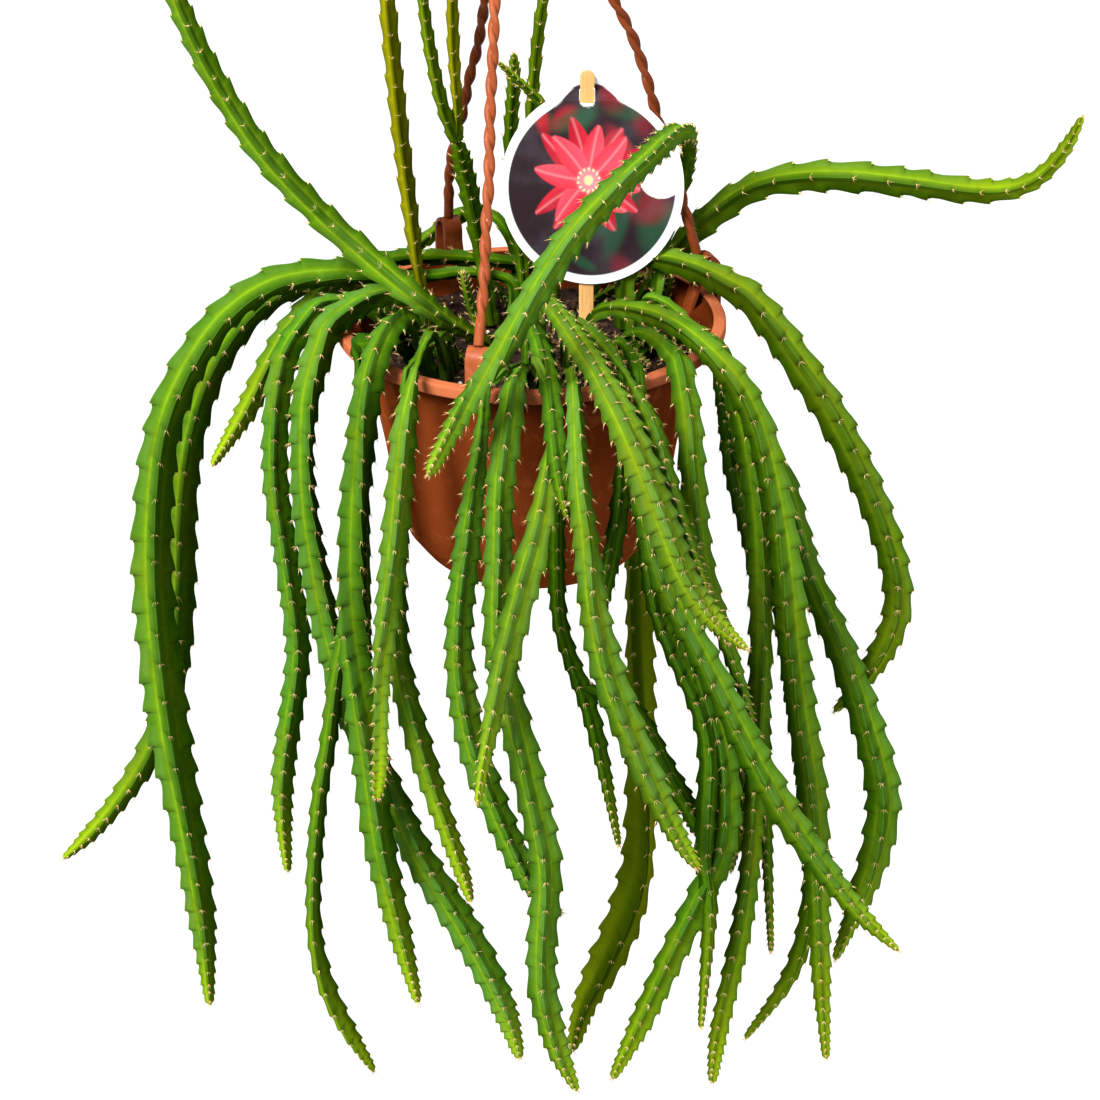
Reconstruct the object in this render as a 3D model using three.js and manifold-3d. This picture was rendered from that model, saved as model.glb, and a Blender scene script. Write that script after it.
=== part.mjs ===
// Hanging pot with a trailing, ribbed, spiny-stemmed cactus.
// Millimetres, +Z up. The origin is where the rail sits inside the hook's crown,
// -Y faces the viewer. The pot hangs below it, its axis PIVOT_X to the right.
import * as THREE from 'three';
import { mergeVertices } from 'three/addons/utils/BufferGeometryUtils.js';
import Module from 'manifold-3d';

const wasm = await Module();
wasm.setup();

// ---------- driving dimensions ----------
const RIM_Z = -288;            // top of the pot's rim below the hook's crown
const PIVOT_X = 5.7;           // the pot's axis
const RIM_OUTER = 86;          // radius of the rim flange
const RIM_INNER = 80.2;
const RIM_BAND = 5.2;          // height of the rim band
const POT_HEIGHT = 113;
const BASE_RADIUS = 43;
const SOIL_DROP = 15;          // soil level below the rim
const GAP = 0.35;              // between touching pieces
const CLIP_WIDTH = 8.8;        // along the rim
const CLIP_MID = 82.9;         // radius of the clip's middle
const CLIP_TOP = 20;           // crown of the clip above the rim
const CLIP_AZIMUTH = { front: -105.2, back_left: 117.3, right: 19.0 };
const STRAND_R = 2.4;
const HUB_Z = RIM_Z + 228.24;  // where the three arms end under the hook
const HOOK_R = 13.4;           // centre-line radius of the hook
const HOOK_WIRE = 2.4;
const PLATE_T = 0.8;           // label plate
const PLATE_R = 40.2;
const PLATE_C = [32.53, 20, -237.4];
const EAR_C = [30.0, -197.9];
const EAR_R = 13.6;
const SLOT_Z = -193.4;         // middle of the slot
const SLOT_H = 6.2;            // height of the slot
const STICK_W = 6.4;
const STICK_T = 1.8;

const COL = {
  green: 0x4d7d2b, light: 0x7fa65a, dark: 0x2c4a17, yellow: 0x6f8f22, olive: 0x8a8018,
};
const mat = (name, color, roughness, metalness = 0) => {
  const m = new THREE.MeshStandardMaterial({ color, roughness, metalness });
  m.name = name;
  return m;
};

// ---------- helpers ----------
const bare = (g) => {
  const q = g.index ? g : g.clone();
  q.deleteAttribute('normal');
  q.deleteAttribute('uv');
  return mergeVertices(q, 1e-4);
};
const solid = (g) => {
  const q = bare(g);
  return new wasm.Manifold(new wasm.Mesh({
    numProp: 3,
    vertProperties: new Float32Array(q.attributes.position.array),
    triVerts: new Uint32Array(q.index.array),
  }));
};
const back = (m) => {
  const k = m.getMesh();
  const g = new THREE.BufferGeometry();
  g.setAttribute('position', new THREE.BufferAttribute(new Float32Array(k.vertProperties), 3));
  g.setIndex(Array.from(k.triVerts));
  g.computeVertexNormals();
  return g;
};

// A ribbed stem lofted through stations [x, y, z, radius]: `ribs` ridges with
// shallow valleys between them. The first ridge of the middle station faces the
// viewer and the section is carried along without twist.
function stem(run, ribs) {
  const P = run.map((s) => new THREE.Vector3(s[0], s[1], s[2]));
  const n = P.length;
  const T = P.map((p, i) => {
    const a = P[Math.max(0, i - 1)], b = P[Math.min(n - 1, i + 1)];
    return b.clone().sub(a).normalize();
  });
  const N = new Array(n);
  const mid = Math.floor(n / 2);
  const view = new THREE.Vector3(0, -0.925, 0.38);
  const ortho = (v, t) => v.clone().addScaledVector(t, -v.dot(t)).normalize();
  N[mid] = ortho(view, T[mid]);
  for (let i = mid + 1; i < n; i++) N[i] = ortho(N[i - 1], T[i]);
  for (let i = mid - 1; i >= 0; i--) N[i] = ortho(N[i + 1], T[i]);
  const m = ribs * 2;
  const pos = [];
  for (let i = 0; i < n; i++) {
    const B = new THREE.Vector3().crossVectors(T[i], N[i]);
    const r = run[i][3];
    for (let k = 0; k < m; k++) {
      const a = (k / m) * Math.PI * 2;
      const q = k % 2 === 0 ? r : r * (ribs === 3 ? 0.62 : 0.74);
      const v = P[i].clone().addScaledVector(N[i], Math.cos(a) * q).addScaledVector(B, Math.sin(a) * q);
      pos.push(v.x, v.y, v.z);
    }
  }
  const a0 = pos.length / 3;
  pos.push(P[0].x, P[0].y, P[0].z, P[n - 1].x, P[n - 1].y, P[n - 1].z);
  const idx = [];
  for (let i = 0; i < n - 1; i++) {
    for (let k = 0; k < m; k++) {
      const a = i * m + k, b = i * m + ((k + 1) % m), c = a + m, d = b + m;
      idx.push(a, b, d, a, d, c);
    }
  }
  for (let k = 0; k < m; k++) {
    const k2 = (k + 1) % m;
    idx.push(a0, k2, k);
    idx.push(a0 + 1, (n - 1) * m + k, (n - 1) * m + k2);
  }
  const g = new THREE.BufferGeometry();
  g.setAttribute('position', new THREE.Float32BufferAttribute(pos, 3));
  g.setIndex(idx);
  g.computeVertexNormals();
  return g;
}

// ---------- the stems: stations [x, y, z, radius], root first ----------
// A node with several runs is one branched stem.
const STEMS = {
  stem_left_long_front: { ribs: 4, green: 'green', runs: [
    [[-2.6,29.7,-302.6,2.7],[-2.6,35.5,-288.2,2.7],[-4.9,36.7,-285.5,2.7],[-13.5,36.8,-282.6,2.9],[-27.9,33.9,-280.8,3.1],[-37.3,31,-280.9,3.4],[-46.4,26.5,-279.9,3.2],[-64.8,16.6,-275.4,4.8],[-79,10.9,-271.7,7.2],[-97.9,6.6,-271.7,7.6],[-111.8,3.9,-275.2,7.7],[-127.9,1,-286,7.7],[-140.6,-0.7,-301.7,8.1],[-153,-1.7,-324.8,8.5],[-159.7,-1.9,-345.2,8.5],[-163.4,-2,-366.6,8.9],[-166.5,-2,-399.7,9.3],[-166.8,-2,-433.4,9.8],[-163,-2,-496.3,10.1],[-157.7,-2,-543,8.4],[-152.3,-2,-597.1,6.8],[-150.5,-2,-646.8,2.2]],
  ] },
  stem_left_long_rear: { ribs: 4, green: 'green', runs: [
    [[7,43.2,-302.6,3.2],[8.7,48.7,-292.2,3.2],[8.3,51.5,-288.3,3.2],[6.1,53.2,-286,3.2],[-22.3,50.4,-280.7,3.8],[-51.4,44.8,-277.6,3.9],[-56.2,43.7,-277.8,4.1],[-61,42.7,-278.3,4.6],[-65.7,41.6,-279.1,5.3],[-70.4,40.6,-280,5.7],[-75,39.5,-281,6.1],[-79.7,38.5,-282,6.4],[-103.1,33.7,-287.8,6.7],[-115.6,31.6,-295,6.7],[-126.1,30.1,-305.8,6.8],[-139.7,28.8,-328,6.8],[-149.9,28.2,-358.7,6.8],[-155,28.1,-391.5,7],[-157.1,28,-425.2,7.2],[-160.6,28,-465.2,7],[-164.9,28,-488.2,6.8],[-171.6,28,-510.8,6.7],[-178.5,28,-527.1,6.6],[-194.4,28,-552,5.1],[-209.1,28,-570.3,4.1],[-221.4,28,-582.7,1.4]],
  ] },
  stem_left_short: { ribs: 4, green: 'green', runs: [
    [[-52.3,15.4,-302.6,4.9],[-60.1,18.8,-290.5,4.2],[-64.2,20.1,-284.2,3.3],[-68.6,20.8,-282.1,3.5],[-73,20.9,-282.1,4.3],[-77.4,20.3,-282,4.8],[-81.6,18.8,-282,5.3],[-85.6,16.7,-282,5.4],[-89.4,14.1,-285.1,5.5],[-102.5,2.4,-297.2,5.5],[-109.6,-3.9,-308.3,5.5],[-120.7,-9.4,-329.4,5.2],[-136.7,-12.5,-355,1.8]],
  ] },
  stem_left_middle: { ribs: 4, green: 'green', runs: [
    [[-53.7,4.7,-302.6,4.4],[-61.6,4.7,-290.6,4.4],[-64.8,4.2,-286.6,4.4],[-68.4,3.4,-282.5,4.5],[-72.2,2.2,-282.2,4.7],[-76.1,0.6,-281.9,5],[-80.1,-1.2,-281.8,5.3],[-83.9,-3.3,-281.8,5.6],[-87.5,-5.6,-282,5.8],[-90.8,-7.9,-284.9,6],[-101,-17.2,-298.1,6.3],[-104.3,-21.9,-311.2,6.4],[-106.5,-25.4,-330.5,6.1],[-107.2,-27.2,-356.1,6],[-104.1,-27.8,-387.7,5.8],[-100.4,-28,-425.5,5.9],[-100.1,-28,-442.1,5.8],[-108.7,-28,-503.8,5.4],[-109.4,-28,-527,4.3],[-108.2,-28,-556.3,1.9]],
  ] },
  stem_left_crossing: { ribs: 4, green: 'light', runs: [
    [[-41.9,-0.3,-302.6,4.4],[-45.1,0,-280.8,4.4],[-51.9,-2.3,-277.3,4.4],[-59.3,-5.8,-275.6,5.5],[-67,-10.9,-276.3,6.1],[-70.6,-14,-277.2,6.4],[-74,-17.3,-278.4,6.6],[-77.1,-20.7,-279.6,6.7],[-79.9,-24,-280.8,6.8],[-82.4,-27.1,-282,6.9],[-84.6,-29.9,-287.2,6.9],[-86.5,-32.4,-292.3,6.9],[-88.2,-34.6,-297.1,6.9],[-92,-39.7,-311.1,7],[-94,-43.8,-335.7,6.1],[-93.3,-45.3,-361.6,6.8],[-89.6,-45.6,-393.4,7.1],[-84.5,-45.1,-425.8,7.1],[-73.6,-45.3,-468.3,7],[-60.7,-45.8,-498.6,7],[-46.8,-45.9,-535.5,7.4],[-26,-46,-575.8,7.8],[-14,-46,-602.3,7],[-6,-46,-624.7,5.6],[-0.1,-46,-648.3,2.4]],
  ] },
  stem_left_broad: { ribs: 4, green: 'green', runs: [
    [[-38.2,-31,-302.6,4.7],[-43.4,-37,-279.3,4.7],[-46.5,-41.6,-272.1,4.7],[-48.3,-44.9,-270.2,4.7],[-52.3,-53.5,-269.6,5.8],[-56.2,-62.7,-272.4,6.1],[-59.3,-69.7,-278,6],[-61.8,-73.3,-285.8,6.5],[-63.8,-74.4,-295,6.6],[-66.7,-70.3,-316.7,6.7],[-70.7,-69.2,-353.1,7.5],[-73,-69.1,-390.2,7.4],[-72.2,-68.1,-417.5,7.4],[-67.3,-66.5,-467.4,8.2],[-63,-66.1,-518.2,7.5],[-55.1,-66.1,-563.5,5.8],[-47,-66,-603.9,2.1]],
  ] },
  stem_left_shaded: { ribs: 3, green: 'dark', runs: [
    [[-40.9,-18.8,-302.6,3.9],[-43,-18.2,-295.5,3.9],[-50.1,-23.4,-285.3,3.9],[-54.3,-29.8,-282.4,4.6],[-56.3,-33.7,-282,4.7],[-58.1,-37.6,-281.8,4.3],[-59.7,-41,-281.8,4.3],[-61.2,-43.8,-281.9,4.5],[-62.4,-45.8,-281.9,4.7],[-63.4,-47.1,-282,5],[-64.1,-47.8,-282,5.2],[-64.7,-48,-282,5.2],[-65.1,-48.1,-282,5.2],[-65.4,-48,-282,5.2],[-65.6,-47.9,-282,5.2],[-65.8,-47.8,-282,5.2],[-66.1,-47.7,-282,5.2],[-66.3,-47.7,-282,5.1],[-66.6,-47.7,-282,5.1],[-67,-47.8,-282,5],[-67.3,-47.8,-282,5],[-67.7,-47.9,-282.1,4.9],[-68.1,-47.9,-282.1,4.8],[-68.5,-48,-282.2,4.8],[-68.8,-48.1,-282.3,4.7],[-69.1,-48.3,-282.3,4.7],[-69.3,-48.6,-282.3,4.6],[-69.4,-48.9,-282.4,4.6],[-69.5,-49.3,-282.4,4.6],[-69.4,-49.7,-282.5,4.5],[-69.2,-50.2,-282.5,4.5],[-68.8,-50.7,-282.7,4.3],[-68.4,-51.2,-283.1,3.9],[-67.9,-51.7,-283.7,3.3],[-67.3,-52.2,-447,2.7]],
  ] },
  stem_left_low: { ribs: 3, green: 'green', runs: [
    [[-45.6,-25.7,-302.6,3.9],[-48.3,-33.1,-291.8,3.3],[-51.3,-41.6,-284.2,3.4],[-52.9,-46,-282.3,3.4],[-54.6,-50.2,-281.4,3.7],[-56.2,-54,-281.3,4.2],[-57.8,-57,-281.6,4.2],[-59.3,-59.1,-282,3.9],[-60.6,-60.2,-282.4,3.8],[-61.9,-60.6,-282.7,4],[-63,-60.3,-293.9,4.3],[-64.1,-59.8,-303.8,4.3],[-65,-59.1,-311.8,4.3],[-68.8,-57.1,-340.1,2.1],[-73.3,-56.8,-398.4,4.3],[-80.4,-57,-435.8,4.7],[-85.1,-56.5,-469.1,4.7],[-90.6,-56.2,-502.8,4.5],[-94.9,-56,-560.7,4.2],[-93.6,-56,-584.2,4.6],[-88.6,-56,-607.1,5.3],[-79.8,-56,-628.6,4.9],[-68.8,-56,-648.9,2.1]],
  ] },
  stem_front_left_blunt: { ribs: 4, green: 'light', runs: [
    [[-30.8,-35.8,-302.6,3.5],[-32,-40.8,-289.2,2.1],[-34.6,-42.7,-281.2,1.6],[-37.1,-47.3,-277.1,3],[-38.2,-51.1,-276.7,3.1],[-40.4,-61.7,-278.1,2.2],[-41.4,-67.7,-279.3,1.9],[-42.3,-73.7,-280.7,1.7],[-43.2,-79.2,-282,2.4],[-44.1,-83.8,-285.6,3.2],[-44.9,-87.6,-289.2,4],[-47,-94.6,-300.9,5.8],[-48.8,-97.3,-319.4,5.9],[-51.6,-98.5,-349.1,6.1],[-54.9,-98.5,-380,5.8],[-58.4,-98.4,-411.6,4.8],[-60.5,-98.2,-460.2,4.3],[-62,-98.2,-476.6,2.6]],
  ] },
  stem_front_left_rear: { ribs: 4, green: 'green', runs: [
    [[-28.3,-27.3,-302.6,3.9],[-31.1,-29.6,-285.4,3.9],[-35.9,-40.8,-284.9,1.2],[-41.1,-57.3,-282.6,2.4],[-42.8,-62.9,-282.5,2],[-44.2,-67.9,-282.4,1.8],[-45.4,-72.1,-282.3,1.7],[-46.5,-75.3,-282.3,1.6],[-47.3,-77.8,-295.2,2.4],[-49.1,-82,-324,4.8],[-50.5,-83.8,-341.3,5],[-52.8,-84.5,-383.7,5.4],[-51.7,-84.4,-415.7,5.6],[-42,-84.2,-463.4,5.9],[-25.6,-84.1,-521.8,3.8],[-21.5,-84.1,-538.2,1.8]],
  ] },
  stem_rising_left: { ribs: 4, green: 'green', runs: [
    [[-9.7,-15,-302.6,3.1],[-12.8,-22.3,-292.4,3.1],[-31,-45.2,-270.9,4.4],[-38.6,-51,-262.2,5],[-42.4,-52.3,-258.5,5.3],[-46.3,-51.4,-255.6,5.5],[-61.3,-38.6,-247.5,6.2],[-68.5,-35.1,-242.1,6.1],[-82.2,-33.2,-229.5,6],[-106.7,-34.1,-200.4,5.8],[-123.5,-34.2,-172.2,5.2],[-136.8,-34.2,-142.6,4.8],[-145.1,-34.1,-116.3,4.1],[-149.9,-34.1,-94,1.2]],
  ] },
  stem_rising_olive: { ribs: 4, green: 'olive', runs: [
    [[-37.7,18.7,-302.6,2.5],[-44.5,22.1,-275.9,2],[-46.3,23.9,-261.3,2.9],[-48,23.9,-245.7,3.1],[-51.7,18.2,-203,3.3],[-54.8,11.9,-156.5,3.2],[-57.8,10.2,-107.9,2.7],[-60,9.9,-79.6,1.2]],
  ] },
  stem_rising_forked: { ribs: 4, green: 'dark', runs: [
    [[-12.1,24.7,-302.6,3.6],[-15.3,30.2,-280.3,3.3],[-17.6,31.1,-266,3.8],[-21.7,28.8,-240.5,4.6],[-26.7,24.6,-214.9,4.4]],
    [[-26.7,24.6,-214.9,3.3],[-32.2,23.2,-200.5,2.8],[-38,19.2,-169.7,2.6],[-42.4,15.9,-129.6,2.1],[-46.6,14.9,-96,1.2]],
    [[-26.7,24.6,-214.9,2.6],[-26.2,24.4,-205.2,1.9],[-27.6,23.3,-175.4,2.6],[-28.1,22.4,-141.3,2.5],[-29.4,22,-89.3,1.2]],
  ] },
  stem_rising_tall: { ribs: 4, green: 'green', runs: [
    [[9,36.6,-302.6,2.9],[9.3,45.2,-280,2.9],[6.3,44.5,-253.6,2.9],[5.3,42.1,-221.4,2.9],[9.8,40.2,-164.8,2.8],[18.8,40,-116.1,1.2]],
  ] },
  stem_rising_short: { ribs: 4, green: 'green', runs: [
    [[2,37.9,-302.6,2.9],[1.7,45.8,-285.1,2.9],[0.2,48.2,-270.9,3.1],[-3.5,48.7,-229.2,3.3],[-1.8,48.1,-193,3.2],[-1.8,48,-182.8,1.5]],
  ] },
  stem_rising_leaning: { ribs: 3, green: 'green', runs: [
    [[15.2,30.7,-302.6,2.9],[16.8,38,-273.8,2.9],[18,37.1,-242.8,2.9],[16.8,35.6,-216.9,3.1],[11.4,34.9,-203.4,3.1],[-8.6,33.9,-182.3,1.3]],
  ] },
  stem_front_arching: { ribs: 4, green: 'green', runs: [
    [[60,21.5,-302.6,3.4],[61,25,-292,3.4],[62.3,29.3,-281,3.2],[64,32.6,-270,3.5],[66.6,35.2,-258,4],[70.8,36.4,-245,4.1],[74.3,34.4,-232.5,4.2],[75.2,27.5,-221.5,4.2],[74.6,17,-211.5,4.3],[71.8,4,-204,4.5],[67.8,-11,-199.3,4.7],[62.2,-29,-196.8,4.9],[53.6,-51,-197.3,5.1],[43.7,-73,-198.5,5.3],[31,-91.1,-205.7,5.9],[19.5,-104.8,-215.2,5.9],[14.7,-109,-221.7,5.9],[7.6,-113.1,-232.4,5.5],[-3.7,-116.3,-252,5.5],[-21.1,-117.7,-280.4,4.7],[-36.5,-118,-311.1,2.5]],
  ] },
  stem_right_reaching: { ribs: 4, green: 'green', runs: [
    [[52.4,36,-302.6,5],[59.8,41.2,-289.2,4.3],[62.7,42.7,-284.9,4.5],[65.8,43.8,-280.8,5],[69.1,44.6,-276.8,5],[86.6,43.7,-257.4,6.7],[106.5,40.3,-242.1,6.3],[125.5,37.8,-237.1,6.9],[144.9,36,-236,7],[174.1,34.7,-238.5,6.5],[203.3,34.2,-242.1,5.7],[217.7,34.1,-241.3,4.8],[226.6,34.1,-238.2,4.3],[234,34.1,-232.4,3.8],[242.3,34,-220.6,3.2],[248.3,34,-207.1,1.3]],
  ] },
  stem_right_arching: { ribs: 4, green: 'green', runs: [
    [[47.3,21.1,-302.6,4.9],[48.5,25.4,-278.2,4.8],[52.1,26.6,-270.5,4.8],[59.9,24,-270.5,4.3],[67.9,20.4,-271.3,5.8],[80.4,14,-274.5,4.9],[88.6,10,-277.4,6.5],[92.5,8.1,-279,6.9],[96.4,6.4,-280.5,7],[100.1,4.7,-282,7.1],[123.5,-4.7,-307.6,7.7],[137.2,-7.2,-328.6,7.8],[151.6,-8.1,-356.8,7.5],[162.2,-8.2,-381.8,7],[170.5,-8.1,-408.2,6.8],[172.4,-8.1,-424.7,6.8],[171.4,-8.1,-435.7,6.5],[166,-8.1,-451,6.4],[155.1,-8.1,-469.7,4.3],[145.4,-8,-482.2,1.6]],
  ] },
  stem_right_long: { ribs: 4, green: 'green', runs: [
    [[30.6,-8.5,-302.6,3.5],[32.7,-11.3,-284.5,3.5],[39.4,-16.3,-278.1,3.7],[57.1,-35.3,-272.7,4.8],[69.2,-49.8,-272.6,5.2],[79.9,-60.4,-277.4,5.3],[86.4,-64.2,-283,6.2],[92.4,-66,-289.8,6.5],[101.6,-66.2,-307.2,6.8],[106.4,-66.4,-321.6,6.9],[113.6,-65.8,-352.3,6.8],[119.1,-65.3,-394.7,7.4],[120.8,-63.1,-412,7.5],[126.7,-52.7,-455.9,7.2],[133.7,-48.9,-503.1,6.9],[137.3,-48.2,-550.1,5.8],[140.4,-48,-598,4.8],[144.5,-48,-647,1.9]],
  ] },
  stem_right_swelling: { ribs: 4, green: 'green', runs: [
    [[52.5,-1.5,-302.6,3.1],[56.3,-3.3,-279.4,3.1],[65.2,-12.3,-278,3.2],[75.3,-24.8,-280,3.7],[78.6,-29,-280.8,3.3],[81.9,-32.5,-281.5,3.5],[84.9,-35,-282,4.2],[87.8,-36.3,-282.2,4.3],[90.6,-36.5,-282.3,4.7],[93.2,-35.8,-292.4,5],[95.7,-34.6,-301.2,5.2],[102.8,-30.6,-319.7,5.2],[114.6,-30.5,-348.8,6],[130.5,-27.3,-402,6.2],[145.2,-26.5,-438.2,7.1],[158.3,-26.2,-475.6,7.7],[167.1,-26.1,-509.1,8.2],[168.1,-26,-526.5,8.2],[165.1,-26,-549.6,7.5],[159.2,-26,-572.1,6],[148.8,-26,-605.9,1.9]],
  ] },
  stem_right_slender: { ribs: 4, green: 'green', runs: [
    [[52.9,-13.7,-302.6,2.5],[58,-19.6,-293,2.4],[63.8,-27.8,-286,2.9],[66.9,-32.7,-283.8,2.7],[70.2,-37.7,-282.5,2.1],[73.5,-42.4,-281.9,1.2],[76.8,-46.4,-281.8,1.2],[80,-49.5,-281.9,2],[83,-51.6,-282,2.3],[85.8,-53,-287.2,3],[88.3,-53.7,-292.2,3.6],[94.7,-54.2,-306.4,4.9],[100.5,-56.2,-330.8,5.7],[104.7,-57.7,-361.6,5.8],[107,-61.8,-413.6,5.7],[106.8,-68.1,-432.2,5.5],[105.8,-78.1,-454.6,5.1],[105.5,-79.7,-464.8,5],[104.6,-74,-519.3,4.9],[102.1,-68.8,-557.2,5.2],[92,-66.2,-623.7,4.3],[89.9,-66,-648.3,2.3]],
  ] },
  stem_front_right_diagonal: { ribs: 4, green: 'green', runs: [
    [[20.8,-25,-302.6,2.6],[21,-24.7,-284.7,2.6],[22.1,-26.8,-277,2.6],[26.3,-40.1,-279.9,1.2],[31.5,-61.6,-282.7,3.2],[33.4,-69.2,-282.9,3.2],[35.4,-76.2,-282.9,3.2],[37.4,-82.2,-282.8,3.1],[39.5,-87.2,-282.6,2.8],[41.5,-91.1,-290,3.6],[43.4,-94.1,-296.6,4.4],[48.7,-100.4,-311.6,5.2],[53.4,-103.1,-329.9,5.7],[62.2,-101.5,-364.9,6.3],[83.8,-99.2,-412.9,6.8],[108.7,-98.5,-466.4,7.3],[121.7,-98.2,-490.2,6.9],[142.6,-98.1,-522.2,5.3],[155.9,-98.1,-539.5,3.8],[170.7,-98.1,-555.3,1.2]],
  ] },
  stem_front_right_bright: { ribs: 4, green: 'light', runs: [
    [[10.9,-22.7,-302.6,3.5],[9.5,-27.4,-274.8,3.5],[10.4,-32.5,-266.4,3.5],[30,-81.3,-273.9,6.4],[34.5,-93.2,-277.2,5.5],[38.8,-102.8,-281.6,7.1],[42.8,-110.9,-286.8,7.2],[48.3,-118,-297.2,7.6],[53.3,-122.1,-309.1,7.7],[61.2,-125.2,-331.1,7.6],[69.8,-126.1,-354.1,6.9],[80.2,-126.2,-370.8,5.3],[97.5,-126.4,-388.1,1.2]],
  ] },
  stem_front_right_second: { ribs: 3, green: 'dark', runs: [
    [[24.9,-30.4,-302.6,3.4],[24.2,-41.2,-281.4,1.2],[24.5,-43.8,-274.8,2],[27.8,-50.1,-271.1,3.4],[29.7,-53.6,-270.3,3.4],[37,-66.8,-272.6,4.5],[42.2,-76.7,-276.1,2.7],[44.6,-81.4,-278.1,1.8],[46.9,-86,-280.2,1.7],[54.8,-101.1,-290.6,4.9],[58,-106.2,-297.3,5.4],[62.8,-111.6,-314.2,5.4],[71.3,-114.7,-342.1,4.7],[79.8,-116.1,-365.9,2.5]],
  ] },
  stem_front_right_narrow: { ribs: 4, green: 'green', runs: [
    [[45.6,-17.7,-302.6,3.3],[47.3,-18.9,-290.4,3.2],[49.8,-22.1,-288,3.5],[52.3,-25.7,-285.8,3.5],[57.6,-35.5,-283,5],[62.7,-48.1,-282,5],[64.9,-54.8,-281.9,5.3],[66.9,-61,-282,5.6],[68.6,-66.6,-282,5.9],[70,-71.4,-287.2,5.9],[72.7,-81.4,-301.7,5.9],[74.2,-88.1,-320,5.9],[77.6,-91.8,-354.6,5.4],[82.2,-92.1,-374.8,4.5],[91.5,-91.7,-405.4,3.9],[102.4,-90.7,-442.1,1.7]],
  ] },
  stem_right_hidden: { ribs: 3, green: 'dark', runs: [
    [[57.6,-9.3,-302.6,2.8],[63.4,-16,-294.1,2.8],[69.2,-25,-287.6,3],[72.1,-30,-285.2,2.8],[74.8,-34.9,-283.2,2.5],[77.4,-39.3,-283,2.3],[79.7,-42.7,-282.8,2.1],[81.9,-45.3,-282.7,1.9],[83.9,-46.9,-282.7,1.8],[85.8,-47.9,-295.3,2.6],[89.9,-48.4,-316.7,4],[94.1,-47.9,-332.2,4.3],[98.6,-47,-342.7,3.9]],
    [[75.2,-37.9,-284,1.9],[75.7,-40.6,-283.3,1.2],[76.1,-42.7,-283.5,1.2],[76.6,-44.2,-283.4,1.2],[77.3,-44.9,-283.4,1.2],[78.3,-45.1,-283.2,1.2],[79.6,-45.1,-283,1.2],[81.4,-45.1,-282.8,1.8],[83.4,-45.2,-282.5,2.5],[85.7,-45.4,-282.3,3],[92.9,-46.7,-337.7,4.8],[104.7,-48.8,-388,4.8],[107.9,-51.1,-425.2,4.6],[109.5,-53.2,-463,4.2],[112.5,-53.9,-519.6,3.6],[116.5,-54,-584.2,1.6]],
  ] },
  stem_front_right_shaded: { ribs: 3, green: 'dark', runs: [
    [[39.6,-30.3,-302.6,2.8],[41.3,-34.2,-288.8,2.8],[45.2,-44.4,-281.9,2.8],[48.6,-58.2,-281.7,3.3],[49.6,-63.6,-282.2,3.5],[50.3,-69,-282.6,3.7],[50.9,-74.2,-282.9,3.6],[51.4,-78.9,-283,3.1],[51.7,-82.9,-290.5,3.1],[52,-86,-297.7,3.1],[52.5,-91.8,-316.1,4.2],[54.3,-91.5,-349.2,4.8],[58.9,-89.9,-381.9,5.5],[65.3,-89.4,-402.5,5.7],[80,-89.5,-437.3,6.1],[84.2,-90.3,-458.2,6.2],[83.3,-92.5,-490.7,5.7],[83.2,-91.3,-508.3,5.4],[85.8,-89.4,-537.8,4.9],[83.1,-88.1,-603.5,1.6]],
    [[54.7,-91.1,-354.7,4.3],[63.1,-89.4,-375.1,5.1],[73.9,-87.8,-406.5,5.6],[86.7,-86.8,-442.8,5.7],[91.3,-86.6,-464.6,6.2],[92.7,-86.6,-492.6,6.5],[90.3,-86.7,-509.2,6.6],[85.2,-86.5,-525.3,6.7],[70.5,-86.2,-562.2,6.3],[56.1,-86.1,-599.9,5.5],[42.7,-86,-632.3,2.1]],
    [[85.1,-86.9,-437.5,3.5],[91.3,-82.4,-448.4,3.5],[95.9,-76.9,-460.9,3.7],[99,-71.7,-479.7,4],[99.1,-68.3,-509.6,3.6],[95.9,-69.4,-531.7,1.6]],
  ] },
  stem_back_broad: { ribs: 3, green: 'yellow', runs: [
    [[33.6,55.4,-302.6,3.8],[35.9,63.8,-288.4,4],[38,71.4,-282.7,4.3],[40,77.8,-282.4,4.6],[41.8,82.7,-282,5],[43.3,86.4,-282,5.3],[44.7,89.1,-292,5.4],[47.9,95.2,-318.9,5.9],[50.2,98.6,-353.8,6.3],[53.6,99.8,-411.4,6.9],[56.5,100,-476.1,8.3],[58.2,100,-524.6,8.6],[60.5,100,-580.5,9.2],[60.2,100,-625,9.9],[57.4,100,-644,11],[50.5,100,-668.7,11.3],[41.2,100,-692.6,10.8],[31.4,100,-716.6,7.2],[25.5,100,-742.5,3.6]],
  ] },
  stem_front_narrow: { ribs: 4, green: 'green', runs: [
    [[4.4,-26.4,-302.6,3],[4.1,-29.4,-283.5,3],[4.6,-33.4,-275.3,3],[9.3,-55.4,-280.1,4.4],[11.3,-70.5,-281.7,2.6],[12.2,-78,-282.1,2.6],[13,-84.6,-282.3,2.2],[13.7,-90,-282.4,1.7],[14.4,-94.3,-282.4,2],[15.1,-97.5,-292.2,2.8],[16.4,-101.8,-303.8,4.4],[21.8,-109.4,-330.5,2.1]],
  ] },
  stem_front_central: { ribs: 4, green: 'light', runs: [
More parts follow.
